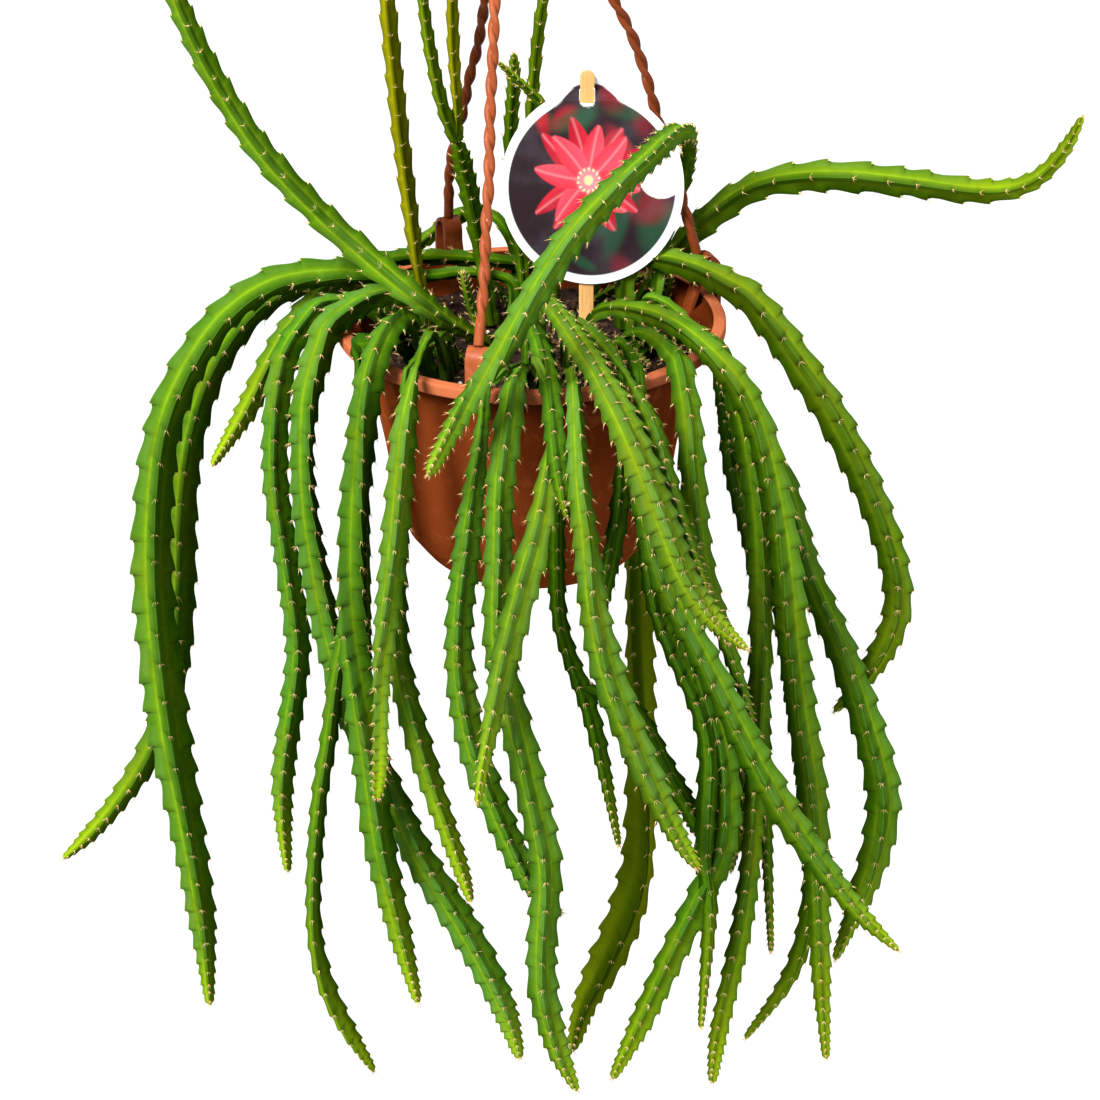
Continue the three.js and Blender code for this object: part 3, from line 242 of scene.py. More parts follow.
def simple_material(name, c1, c2, scale, rough=(0.4, 0.55), bump_s=0.15, bump_d=0.0003, detail=4, spec=0.4, c3=None, scale2=None):
    m, nt, b = mat_new(name)
    co = objcoord(nt)
    n = noise_tex(nt, scale, detail, 0.6, co)
    c = mix(nt, maprange(nt, n.outputs[0], 0.35, 0.65, 0, 1, True), c1, c2)
    if c3:
        n2 = noise_tex(nt, scale2 or scale * 5, 3, 0.6, co)
        c = mix(nt, maprange(nt, n2.outputs[0], 0.55, 0.72, 0, 0.6, True), c, c3)
    L(nt, c, b.inputs["Base Color"])
    L(nt, maprange(nt, n.outputs[0], 0.3, 0.7, rough[0], rough[1]), b.inputs["Roughness"])
    b.inputs["Specular IOR Level"].default_value = spec
    if bump_s:
        bump(nt, b, noise_tex(nt, scale * 6, 4, 0.6, co).outputs[0], bump_s, bump_d)
    return m

M_SKIN = skin_material()
M_AREOLE = simple_material("areole_wool", lin(204, 160, 80), lin(236, 208, 138), 900, (0.8, 0.95), 0.5, 0.0002, spec=0.05, c3=lin(158, 100, 36))
M_SPINE = simple_material("spines", lin(214, 166, 98), lin(240, 212, 152), 500, (0.45, 0.6), 0.0, spec=0.05, c3=lin(146, 76, 34))

# ------------------------------------------------------------------ stems
# node: one entry per run: (key, ribs, [(x, y, z, ridge radius) mm, root first])
STEMS = {
    "stem_left_long_front": (
        ("L1", 4, [(-2.6, 29.7, -302.6, 2.7), (-2.6, 35.5, -288.2, 2.7), (-4.9, 36.7, -285.5, 2.7), (-13.5, 36.8, -282.6, 2.9), (-27.9, 33.9, -280.8, 3.1), (-37.3, 31, -280.9, 3.4), (-46.4, 26.5, -279.9, 3.2), (-64.8, 16.6, -275.4, 4.8), (-79, 10.9, -271.7, 7.2), (-97.9, 6.6, -271.7, 7.6), (-111.8, 3.9, -275.2, 7.7), (-127.9, 1, -286, 7.7), (-140.6, -0.7, -301.7, 8.1), (-153, -1.7, -324.8, 8.5), (-159.7, -1.9, -345.2, 8.5), (-163.4, -2, -366.6, 8.9), (-166.5, -2, -399.7, 9.3), (-166.8, -2, -433.4, 9.8), (-163, -2, -496.3, 10.1), (-157.7, -2, -543, 8.4), (-152.3, -2, -597.1, 6.8), (-150.5, -2, -646.8, 2.2)]),
    ),
    "stem_left_long_rear": (
        ("L2", 4, [(7, 43.2, -302.6, 3.2), (8.7, 48.7, -292.2, 3.2), (8.3, 51.5, -288.3, 3.2), (6.1, 53.2, -286, 3.2), (-22.3, 50.4, -280.7, 3.8), (-51.4, 44.8, -277.6, 3.9), (-56.2, 43.7, -277.8, 4.1), (-61, 42.7, -278.3, 4.6), (-65.7, 41.6, -279.1, 5.3), (-70.4, 40.6, -280, 5.7), (-75, 39.5, -281, 6.1), (-79.7, 38.5, -282, 6.4), (-103.1, 33.7, -287.8, 6.7), (-115.6, 31.6, -295, 6.7), (-126.1, 30.1, -305.8, 6.8), (-139.7, 28.8, -328, 6.8), (-149.9, 28.2, -358.7, 6.8), (-155, 28.1, -391.5, 7), (-157.1, 28, -425.2, 7.2), (-160.6, 28, -465.2, 7), (-164.9, 28, -488.2, 6.8), (-171.6, 28, -510.8, 6.7), (-178.5, 28, -527.1, 6.6), (-194.4, 28, -552, 5.1), (-209.1, 28, -570.3, 4.1), (-221.4, 28, -582.7, 1.4)]),
    ),
    "stem_left_short": (
        ("L3", 4, [(-52.3, 15.4, -302.6, 4.9), (-60.1, 18.8, -290.5, 4.2), (-64.2, 20.1, -284.2, 3.3), (-68.6, 20.8, -282.1, 3.5), (-73, 20.9, -282.1, 4.3), (-77.4, 20.3, -282, 4.8), (-81.6, 18.8, -282, 5.3), (-85.6, 16.7, -282, 5.4), (-89.4, 14.1, -285.1, 5.5), (-102.5, 2.4, -297.2, 5.5), (-109.6, -3.9, -308.3, 5.5), (-120.7, -9.4, -329.4, 5.2), (-136.7, -12.5, -355, 1.8)]),
    ),
    "stem_left_middle": (
        ("L4", 4, [(-53.7, 4.7, -302.6, 4.4), (-61.6, 4.7, -290.6, 4.4), (-64.8, 4.2, -286.6, 4.4), (-68.4, 3.4, -282.5, 4.5), (-72.2, 2.2, -282.2, 4.7), (-76.1, 0.6, -281.9, 5), (-80.1, -1.2, -281.8, 5.3), (-83.9, -3.3, -281.8, 5.6), (-87.5, -5.6, -282, 5.8), (-90.8, -7.9, -284.9, 6), (-101, -17.2, -298.1, 6.3), (-104.3, -21.9, -311.2, 6.4), (-106.5, -25.4, -330.5, 6.1), (-107.2, -27.2, -356.1, 6), (-104.1, -27.8, -387.7, 5.8), (-100.4, -28, -425.5, 5.9), (-100.1, -28, -442.1, 5.8), (-108.7, -28, -503.8, 5.4), (-109.4, -28, -527, 4.3), (-108.2, -28, -556.3, 1.9)]),
    ),
    "stem_left_crossing": (
        ("L5", 4, [(-41.9, -0.3, -302.6, 4.4), (-45.1, 0, -280.8, 4.4), (-51.9, -2.3, -277.3, 4.4), (-59.3, -5.8, -275.6, 5.5), (-67, -10.9, -276.3, 6.1), (-70.6, -14, -277.2, 6.4), (-74, -17.3, -278.4, 6.6), (-77.1, -20.7, -279.6, 6.7), (-79.9, -24, -280.8, 6.8), (-82.4, -27.1, -282, 6.9), (-84.6, -29.9, -287.2, 6.9), (-86.5, -32.4, -292.3, 6.9), (-88.2, -34.6, -297.1, 6.9), (-92, -39.7, -311.1, 7), (-94, -43.8, -335.7, 6.1), (-93.3, -45.3, -361.6, 6.8), (-89.6, -45.6, -393.4, 7.1), (-84.5, -45.1, -425.8, 7.1), (-73.6, -45.3, -468.3, 7), (-60.7, -45.8, -498.6, 7), (-46.8, -45.9, -535.5, 7.4), (-26, -46, -575.8, 7.8), (-14, -46, -602.3, 7), (-6, -46, -624.7, 5.6), (-0.1, -46, -648.3, 2.4)]),
    ),
    "stem_left_broad": (
        ("L6", 4, [(-38.2, -31, -302.6, 4.7), (-43.4, -37, -279.3, 4.7), (-46.5, -41.6, -272.1, 4.7), (-48.3, -44.9, -270.2, 4.7), (-52.3, -53.5, -269.6, 5.8), (-56.2, -62.7, -272.4, 6.1), (-59.3, -69.7, -278, 6), (-61.8, -73.3, -285.8, 6.5), (-63.8, -74.4, -295, 6.6), (-66.7, -70.3, -316.7, 6.7), (-70.7, -69.2, -353.1, 7.5), (-73, -69.1, -390.2, 7.4), (-72.2, -68.1, -417.5, 7.4), (-67.3, -66.5, -467.4, 8.2), (-63, -66.1, -518.2, 7.5), (-55.1, -66.1, -563.5, 5.8), (-47, -66, -603.9, 2.1)]),
    ),
    "stem_left_shaded": (
        ("L6b", 3, [(-40.9, -18.8, -302.6, 3.9), (-43, -18.2, -295.5, 3.9), (-50.1, -23.4, -285.3, 3.9), (-54.3, -29.8, -282.4, 4.6), (-56.3, -33.7, -282, 4.7), (-58.1, -37.6, -281.8, 4.3), (-59.7, -41, -281.8, 4.3), (-61.2, -43.8, -281.9, 4.5), (-62.4, -45.8, -281.9, 4.7), (-63.4, -47.1, -282, 5), (-64.1, -47.8, -282, 5.2), (-64.7, -48, -282, 5.2), (-65.1, -48.1, -282, 5.2), (-65.4, -48, -282, 5.2), (-65.6, -47.9, -282, 5.2), (-65.8, -47.8, -282, 5.2), (-66.1, -47.7, -282, 5.2), (-66.3, -47.7, -282, 5.1), (-66.6, -47.7, -282, 5.1), (-67, -47.8, -282, 5), (-67.3, -47.8, -282, 5), (-67.7, -47.9, -282.1, 4.9), (-68.1, -47.9, -282.1, 4.8), (-68.5, -48, -282.2, 4.8), (-68.8, -48.1, -282.3, 4.7), (-69.1, -48.3, -282.3, 4.7), (-69.3, -48.6, -282.3, 4.6), (-69.4, -48.9, -282.4, 4.6), (-69.5, -49.3, -282.4, 4.6), (-69.4, -49.7, -282.5, 4.5), (-69.2, -50.2, -282.5, 4.5), (-68.8, -50.7, -282.7, 4.3), (-68.4, -51.2, -283.1, 3.9), (-67.9, -51.7, -283.7, 3.3), (-67.3, -52.2, -447, 2.7)]),
    ),
    "stem_left_low": (
        ("M1", 3, [(-45.6, -25.7, -302.6, 3.9), (-48.3, -33.1, -291.8, 3.3), (-51.3, -41.6, -284.2, 3.4), (-52.9, -46, -282.3, 3.4), (-54.6, -50.2, -281.4, 3.7), (-56.2, -54, -281.3, 4.2), (-57.8, -57, -281.6, 4.2), (-59.3, -59.1, -282, 3.9), (-60.6, -60.2, -282.4, 3.8), (-61.9, -60.6, -282.7, 4), (-63, -60.3, -293.9, 4.3), (-64.1, -59.8, -303.8, 4.3), (-65, -59.1, -311.8, 4.3), (-68.8, -57.1, -340.1, 2.1), (-73.3, -56.8, -398.4, 4.3), (-80.4, -57, -435.8, 4.7), (-85.1, -56.5, -469.1, 4.7), (-90.6, -56.2, -502.8, 4.5), (-94.9, -56, -560.7, 4.2), (-93.6, -56, -584.2, 4.6), (-88.6, -56, -607.1, 5.3), (-79.8, -56, -628.6, 4.9), (-68.8, -56, -648.9, 2.1)]),
    ),
    "stem_front_left_blunt": (
        ("M2", 4, [(-30.8, -35.8, -302.6, 3.5), (-32, -40.8, -289.2, 2.1), (-34.6, -42.7, -281.2, 1.6), (-37.1, -47.3, -277.1, 3), (-38.2, -51.1, -276.7, 3.1), (-40.4, -61.7, -278.1, 2.2), (-41.4, -67.7, -279.3, 1.9), (-42.3, -73.7, -280.7, 1.7), (-43.2, -79.2, -282, 2.4), (-44.1, -83.8, -285.6, 3.2), (-44.9, -87.6, -289.2, 4), (-47, -94.6, -300.9, 5.8), (-48.8, -97.3, -319.4, 5.9), (-51.6, -98.5, -349.1, 6.1), (-54.9, -98.5, -380, 5.8), (-58.4, -98.4, -411.6, 4.8), (-60.5, -98.2, -460.2, 4.3), (-62, -98.2, -476.6, 2.6)]),
    ),
    "stem_front_left_rear": (
        ("N1", 4, [(-28.3, -27.3, -302.6, 3.9), (-31.1, -29.6, -285.4, 3.9), (-35.9, -40.8, -284.9, 1.2), (-41.1, -57.3, -282.6, 2.4), (-42.8, -62.9, -282.5, 2), (-44.2, -67.9, -282.4, 1.8), (-45.4, -72.1, -282.3, 1.7), (-46.5, -75.3, -282.3, 1.6), (-47.3, -77.8, -295.2, 2.4), (-49.1, -82, -324, 4.8), (-50.5, -83.8, -341.3, 5), (-52.8, -84.5, -383.7, 5.4), (-51.7, -84.4, -415.7, 5.6), (-42, -84.2, -463.4, 5.9), (-25.6, -84.1, -521.8, 3.8), (-21.5, -84.1, -538.2, 1.8)]),
    ),
    "stem_rising_left": (
        ("A", 4, [(-9.7, -15, -302.6, 3.1), (-12.8, -22.3, -292.4, 3.1), (-31, -45.2, -270.9, 4.4), (-38.6, -51, -262.2, 5), (-42.4, -52.3, -258.5, 5.3), (-46.3, -51.4, -255.6, 5.5), (-61.3, -38.6, -247.5, 6.2), (-68.5, -35.1, -242.1, 6.1), (-82.2, -33.2, -229.5, 6), (-106.7, -34.1, -200.4, 5.8), (-123.5, -34.2, -172.2, 5.2), (-136.8, -34.2, -142.6, 4.8), (-145.1, -34.1, -116.3, 4.1), (-149.9, -34.1, -94, 1.2)]),
    ),
    "stem_rising_olive": (
        ("P", 4, [(-37.7, 18.7, -302.6, 2.5), (-44.5, 22.1, -275.9, 2), (-46.3, 23.9, -261.3, 2.9), (-48, 23.9, -245.7, 3.1), (-51.7, 18.2, -203, 3.3), (-54.8, 11.9, -156.5, 3.2), (-57.8, 10.2, -107.9, 2.7), (-60, 9.9, -79.6, 1.2)]),
    ),
    "stem_rising_forked": (
        ("CD", 4, [(-12.1, 24.7, -302.6, 3.6), (-15.3, 30.2, -280.3, 3.3), (-17.6, 31.1, -266, 3.8), (-21.7, 28.8, -240.5, 4.6), (-26.7, 24.6, -214.9, 4.4)]),
        ("C", 4, [(-26.7, 24.6, -214.9, 3.3), (-32.2, 23.2, -200.5, 2.8), (-38, 19.2, -169.7, 2.6), (-42.4, 15.9, -129.6, 2.1), (-46.6, 14.9, -96, 1.2)]),
        ("D", 4, [(-26.7, 24.6, -214.9, 2.6), (-26.2, 24.4, -205.2, 1.9), (-27.6, 23.3, -175.4, 2.6), (-28.1, 22.4, -141.3, 2.5), (-29.4, 22, -89.3, 1.2)]),
    ),
    "stem_rising_tall": (
        ("E1", 4, [(9, 36.6, -302.6, 2.9), (9.3, 45.2, -280, 2.9), (6.3, 44.5, -253.6, 2.9), (5.3, 42.1, -221.4, 2.9), (9.8, 40.2, -164.8, 2.8), (18.8, 40, -116.1, 1.2)]),
    ),
    "stem_rising_short": (
        ("E2", 4, [(2, 37.9, -302.6, 2.9), (1.7, 45.8, -285.1, 2.9), (0.2, 48.2, -270.9, 3.1), (-3.5, 48.7, -229.2, 3.3), (-1.8, 48.1, -193, 3.2), (-1.8, 48, -182.8, 1.5)]),
    ),
    "stem_rising_leaning": (
        ("E3", 3, [(15.2, 30.7, -302.6, 2.9), (16.8, 38, -273.8, 2.9), (18, 37.1, -242.8, 2.9), (16.8, 35.6, -216.9, 3.1), (11.4, 34.9, -203.4, 3.1), (-8.6, 33.9, -182.3, 1.3)]),
    ),
    "stem_front_arching": (
        ("F", 4, [(60, 21.5, -302.6, 3.4), (61, 25, -292, 3.4), (62.3, 29.3, -281, 3.2), (64, 32.6, -270, 3.5), (66.6, 35.2, -258, 4), (70.8, 36.4, -245, 4.1), (74.3, 34.4, -232.5, 4.2), (75.2, 27.5, -221.5, 4.2), (74.6, 17, -211.5, 4.3), (71.8, 4, -204, 4.5), (67.8, -11, -199.3, 4.7), (62.2, -29, -196.8, 4.9), (53.6, -51, -197.3, 5.1), (43.7, -73, -198.5, 5.3), (31, -91.1, -205.7, 5.9), (19.5, -104.8, -215.2, 5.9), (14.7, -109, -221.7, 5.9), (7.6, -113.1, -232.4, 5.5), (-3.7, -116.3, -252, 5.5), (-21.1, -117.7, -280.4, 4.7), (-36.5, -118, -311.1, 2.5)]),
    ),
    "stem_right_reaching": (
        ("G", 4, [(52.4, 36, -302.6, 5), (59.8, 41.2, -289.2, 4.3), (62.7, 42.7, -284.9, 4.5), (65.8, 43.8, -280.8, 5), (69.1, 44.6, -276.8, 5), (86.6, 43.7, -257.4, 6.7), (106.5, 40.3, -242.1, 6.3), (125.5, 37.8, -237.1, 6.9), (144.9, 36, -236, 7), (174.1, 34.7, -238.5, 6.5), (203.3, 34.2, -242.1, 5.7), (217.7, 34.1, -241.3, 4.8), (226.6, 34.1, -238.2, 4.3), (234, 34.1, -232.4, 3.8), (242.3, 34, -220.6, 3.2), (248.3, 34, -207.1, 1.3)]),
    ),
    "stem_right_arching": (
        ("H", 4, [(47.3, 21.1, -302.6, 4.9), (48.5, 25.4, -278.2, 4.8), (52.1, 26.6, -270.5, 4.8), (59.9, 24, -270.5, 4.3), (67.9, 20.4, -270.3, 5.9), (80.4, 14, -271.9, 6), (88.6, 10, -274.6, 6.7), (92.5, 8.1, -276.2, 6.9), (96.4, 6.4, -277.8, 7), (100.1, 4.7, -279.4, 7.1), (112, -0.2, -291.6, 7.5), (123.5, -4.7, -307.6, 7.7), (137.2, -7.2, -328.6, 7.8), (151.6, -8.1, -356.8, 7.5), (162.2, -8.2, -381.8, 7), (170.5, -8.1, -408.2, 6.8), (172.4, -8.1, -424.7, 6.8), (171.4, -8.1, -435.7, 6.5), (166, -8.1, -451, 6.4), (155.1, -8.1, -469.7, 4.3), (145.4, -8, -482.2, 1.6)]),
    ),
    "stem_right_long": (
        ("I", 4, [(30.6, -8.5, -302.6, 3.5), (32.7, -11.3, -284.5, 3.5), (39.4, -16.3, -278.1, 3.7), (57.1, -35.3, -272.7, 4.8), (69.2, -49.8, -272.6, 5.2), (79.9, -60.4, -277.4, 5.3), (86.4, -64.2, -283, 6.2), (92.4, -66, -289.8, 6.5), (101.6, -66.2, -307.2, 6.8), (106.4, -66.4, -321.6, 6.9), (113.6, -65.8, -352.3, 6.8), (119.1, -65.3, -394.7, 7.4), (120.8, -63.1, -412, 7.5), (126.7, -52.7, -455.9, 7.2), (133.7, -48.9, -503.1, 6.9), (137.3, -48.2, -550.1, 5.8), (140.4, -48, -598, 4.8), (144.5, -48, -647, 1.9)]),
    ),
    "stem_right_swelling": (
        ("K", 4, [(52.5, -1.5, -302.6, 3.1), (56.3, -3.3, -279.4, 3.1), (65.2, -12.3, -278, 3.2), (74.5, -28.5, -281.2, 3.4), (77.6, -34, -282.4, 3.3), (80, -38.5, -283, 3.4), (82.6, -41.6, -283.4, 3.7), (85, -43, -284, 4), (87, -42.4, -287, 4.4), (88.2, -40.6, -292.6, 4.8), (91, -38, -301.2, 5.1), (99.4, -33, -319.7, 5.2), (113.2, -31, -348.8, 6), (114.6, -30.5, -348.8, 6), (130.5, -27.3, -402, 6.2), (145.2, -26.5, -438.2, 7.1), (158.3, -26.2, -475.6, 7.7), (167.1, -26.1, -509.1, 8.2), (168.1, -26, -526.5, 8.2), (165.1, -26, -549.6, 7.5), (159.2, -26, -572.1, 6), (148.8, -26, -605.9, 1.9)]),
    ),
    "stem_right_slender": (
        ("Q", 4, [(52.9, -13.7, -302.6, 2.5), (58, -19.6, -293, 2.4), (63.8, -27.8, -286, 2.9), (66.9, -32.7, -283.8, 2.7), (70.2, -37.7, -282.5, 2.1), (73.5, -42.4, -281.9, 1.2), (76.8, -46.4, -281.8, 1.2), (80, -49.5, -281.9, 2), (83, -51.6, -282, 2.3), (85.8, -53, -287.2, 3), (88.3, -53.7, -292.2, 3.6), (94.7, -54.2, -306.4, 4.9), (100.5, -56.2, -330.8, 5.7), (104.7, -57.7, -361.6, 5.8), (107, -61.8, -413.6, 5.7), (106.8, -68.1, -432.2, 5.5), (105.8, -78.1, -454.6, 5.1), (105.5, -79.7, -464.8, 5), (104.6, -74, -519.3, 4.9), (102.1, -68.8, -557.2, 5.2), (92, -66.2, -623.7, 4.3), (89.9, -66, -648.3, 2.3)]),
    ),
    "stem_front_right_diagonal": (
        ("J", 4, [(20.8, -25, -302.6, 2.6), (21, -24.7, -284.7, 2.6), (22.1, -26.8, -277, 2.6), (26.3, -40.1, -279.9, 1.2), (31.5, -61.6, -282.7, 3.2), (33.4, -69.2, -282.9, 3.2), (35.4, -76.2, -282.9, 3.2), (37.4, -82.2, -282.8, 3.1), (39.5, -87.2, -282.6, 2.8), (41.5, -91.1, -290, 3.6), (43.4, -94.1, -296.6, 4.4), (48.7, -100.4, -311.6, 5.2), (53.4, -103.1, -329.9, 5.7), (62.2, -101.5, -364.9, 6.3), (83.8, -99.2, -412.9, 6.8), (108.7, -98.5, -466.4, 7.3), (121.7, -98.2, -490.2, 6.9), (142.6, -98.1, -522.2, 5.3), (155.9, -98.1, -539.5, 3.8), (170.7, -98.1, -555.3, 1.2)]),
    ),
    "stem_front_right_bright": (
        ("S", 4, [(10.9, -22.7, -302.6, 3.5), (9.5, -27.4, -274.8, 3.5), (10.4, -32.5, -266.4, 3.5), (30, -81.3, -273.9, 6.4), (34.5, -93.2, -277.2, 5.5), (38.8, -102.8, -281.6, 7.1), (42.8, -110.9, -286.8, 7.2), (48.3, -118, -297.2, 7.6), (53.3, -122.1, -309.1, 7.7), (61.2, -125.2, -331.1, 7.6), (69.8, -126.1, -354.1, 6.9), (80.2, -126.2, -370.8, 5.3), (97.5, -126.4, -388.1, 1.2)]),
    ),
    "stem_front_right_second": (
        ("T", 3, [(24.9, -30.4, -302.6, 3.4), (24.2, -41.2, -281.4, 1.2), (24.5, -43.8, -274.8, 2), (27.8, -50.1, -271.1, 3.4), (29.7, -53.6, -270.3, 3.4), (37, -66.8, -272.6, 4.5), (42.2, -76.7, -276.1, 2.7), (44.6, -81.4, -278.1, 1.8), (46.9, -86, -280.2, 1.7), (54.8, -101.1, -290.6, 4.9), (58, -106.2, -297.3, 5.4), (62.8, -111.6, -314.2, 5.4), (71.3, -114.7, -342.1, 4.7), (79.8, -116.1, -365.9, 2.5)]),
    ),
    "stem_front_right_narrow": (
        ("U", 4, [(45.6, -17.7, -302.6, 3.3), (47.3, -18.9, -290.4, 3.2), (49.8, -22.1, -288, 3.5), (52.3, -25.7, -285.8, 3.5), (57.6, -35.5, -283, 5), (62.7, -48.1, -282, 5), (64.9, -54.8, -281.9, 5.3), (66.9, -61, -282, 5.6), (68.6, -66.6, -282, 5.9), (70, -71.4, -287.2, 5.9), (72.7, -81.4, -301.7, 5.9), (74.2, -88.1, -320, 5.9), (77.6, -91.8, -354.6, 5.4), (82.2, -92.1, -374.8, 4.5), (91.5, -91.7, -405.4, 3.9), (102.4, -90.7, -442.1, 1.7)]),
    ),
    "stem_right_hidden": (
        ("JJ1", 3, [(57.6, -9.3, -302.6, 2.8), (63.4, -16, -294.1, 2.8), (69.2, -25, -287.6, 3), (72.1, -30, -285.2, 2.8), (74.8, -34.9, -283.2, 2.5), (77.4, -39.3, -283, 2.3), (79.7, -42.7, -282.8, 2.1), (81.9, -45.3, -282.7, 1.9), (83.9, -46.9, -282.7, 1.8), (85.8, -47.9, -295.3, 2.6), (89.9, -48.4, -316.7, 4), (94.1, -47.9, -332.2, 4.3), (98.6, -47, -342.7, 3.9)]),
        ("V", 3, [(75.2, -37.9, -284, 1.9), (75.7, -40.6, -283.3, 1.2), (76.1, -42.7, -283.5, 1.2), (76.6, -44.2, -283.4, 1.2), (77.3, -44.9, -283.4, 1.2), (78.3, -45.1, -283.2, 1.2), (79.6, -45.1, -283, 1.2), (81.4, -45.1, -282.8, 1.8), (83.4, -45.2, -282.5, 2.5), (85.7, -45.4, -282.3, 3), (92.9, -46.7, -337.7, 4.8), (104.7, -48.8, -388, 4.8), (107.9, -51.1, -425.2, 4.6), (109.5, -53.2, -463, 4.2), (112.5, -53.9, -519.6, 3.6), (116.5, -54, -584.2, 1.6)]),
    ),
    "stem_front_right_shaded": (
        ("X1", 3, [(39.6, -30.3, -302.6, 2.8), (41.3, -34.2, -288.8, 2.8), (45.2, -44.4, -281.9, 2.8), (48.6, -58.2, -281.7, 3.3), (49.6, -63.6, -282.2, 3.5), (50.3, -69, -282.6, 3.7), (50.9, -74.2, -282.9, 3.6), (51.4, -78.9, -283, 3.1), (51.7, -82.9, -290.5, 3.1), (52, -86, -297.7, 3.1), (52.5, -91.8, -316.1, 4.2), (54.3, -91.5, -349.2, 4.8), (58.9, -89.9, -381.9, 5.5), (65.3, -89.4, -402.5, 5.7), (80, -89.5, -437.3, 6.1), (84.2, -90.3, -458.2, 6.2), (83.3, -92.5, -490.7, 5.7), (83.2, -91.3, -508.3, 5.4), (85.8, -89.4, -537.8, 4.9), (83.1, -88.1, -603.5, 1.6)]),
        ("X2", 4, [(54.7, -91.1, -354.7, 4.3), (63.1, -89.4, -375.1, 5.1), (73.9, -87.8, -406.5, 5.6), (86.7, -86.8, -442.8, 5.7), (91.3, -86.6, -464.6, 6.2), (92.7, -86.6, -492.6, 6.5), (90.3, -86.7, -509.2, 6.6), (85.2, -86.5, -525.3, 6.7), (70.5, -86.2, -562.2, 6.3), (56.1, -86.1, -599.9, 5.5), (42.7, -86, -632.3, 2.1)]),
        ("X3", 3, [(85.1, -86.9, -437.5, 3.5), (91.3, -82.4, -448.4, 3.5), (95.9, -76.9, -460.9, 3.7), (99, -71.7, -479.7, 4), (99.1, -68.3, -509.6, 3.6), (95.9, -69.4, -531.7, 1.6)]),
    ),
    "stem_back_broad": (
        ("Y", 3, [(33.6, 55.4, -302.6, 3.8), (35.9, 63.8, -288.4, 4), (38, 71.4, -282.7, 4.3), (40, 77.8, -282.4, 4.6), (41.8, 82.7, -282, 5), (43.3, 86.4, -282, 5.3), (44.7, 89.1, -292, 5.4), (47.9, 95.2, -318.9, 5.9), (50.2, 98.6, -353.8, 6.3), (53.6, 99.8, -411.4, 6.9), (56.5, 100, -476.1, 8.3), (58.2, 100, -524.6, 8.6), (60.5, 100, -580.5, 9.2), (60.2, 100, -625, 9.9), (57.4, 100, -644, 11), (50.5, 100, -668.7, 11.3), (41.2, 100, -692.6, 10.8), (31.4, 100, -716.6, 7.2), (25.5, 100, -742.5, 3.6)]),
    ),
    "stem_front_narrow": (
        ("Z1", 4, [(4.4, -26.4, -302.6, 3), (4.1, -29.4, -283.5, 3.2), (4.6, -33.4, -275.3, 3.8), (9.3, -55.4, -278, 4.6), (11.3, -70.5, -279.5, 4.5), (12.2, -78, -279.5, 4.5), (13, -86, -279.8, 4.5), (13.9, -94.5, -281.5, 4.4), (14.9, -101, -288, 4.4), (16, -106, -298, 4.5), (17.3, -109.5, -309, 4.4), (19.5, -112.5, -321, 3.8), (22, -113.5, -333, 2.6)]),
    ),
    "stem_front_central": (
        ("Z2", 4, [(20.5, -51.4, -302.6, 3.4), (21.5, -57.7, -293.6, 3.4), (22.4, -65.8, -286.9, 3.2), (22.8, -70.8, -284.8, 3.1), (23.1, -76.3, -283, 3.4), (23.5, -81.9, -282.8, 3.5), (23.8, -87.5, -282.7, 3.5), (24, -92.7, -282.5, 3.7), (25.6, -110.3, -307.6, 5), (26.1, -113.7, -316.2, 5.1), (28.9, -118.1, -339.5, 5.8), (32.2, -119.7, -369.6, 6.2), (36, -120, -390, 7.3), (41.3, -120.1, -410.3, 7.7), (59.6, -120, -460.5, 6.5), (70.7, -120, -485.1, 4.4), (78.7, -120, -499.3, 2)]),
    ),
    "stem_front_dark": (
        ("AA", 3, [(11.9, -29.2, -302.6, 2.6), (12.4, -31.5, -289.5, 2.6), (12.7, -33.5, -284.9, 2.6), (13.2, -36.1, -283.4, 2.6), (15.5, -57.8, -286.1, 2.8), (16.4, -70.7, -284.9, 2.2), (16.7, -76.7, -283.9, 1.8), (16.9, -81.8, -283.7, 1.7), (17, -86, -283.6, 1.5), (17.1, -89.1, -283.5, 1.4), (17, -91.3, -283.3, 1.2), (16.8, -95.9, -338.2, 4.7), (17.9, -96.6, -386, 4.2), (20.9, -96.5, -401.7, 4.2), (30.6, -96.3, -432.1, 4.8), (35.6, -96.2, -453.2, 4.5), (44.6, -96.1, -502.3, 1.6)]),
        ("NN", 3, [(27.4, -96.4, -421.9, 3), (41.6, -94.6, -429, 4.7), (53.2, -92.3, -440, 5.3), (65.1, -87.8, -467.8, 6.2), (75.8, -83.3, -490, 5.6), (81.9, -81.5, -507, 3.1)]),
    ),
    "stem_front_inner": (
        ("HH", 3, [(27.4, -24.3, -302.6, 2.6), (29.3, -26.5, -287.7, 2.6), (30.5, -28.6, -282.5, 2.6), (31.8, -31.6, -280.6, 2.6), (38.5, -59.8, -283, 3.5), (39.8, -65.3, -283, 3.5), (41.1, -70.1, -282.8, 3.5), (42.3, -74.1, -282.7, 3), (43.3, -77.3, -282.5, 2.4), (44.1, -79.8, -282.3, 1.9), (44.6, -81.8, -282.2, 1.4), (44.8, -83.4, -282, 1.2), (44.9, -84.7, -299.3, 2), (44.7, -86, -313.9, 2.8), (43.5, -90.1, -338.8, 5.1), (39.5, -97.9, -362, 4.6), (35.4, -102.9, -385.6, 2.6)]),
    ),
    "stem_front_pale": (
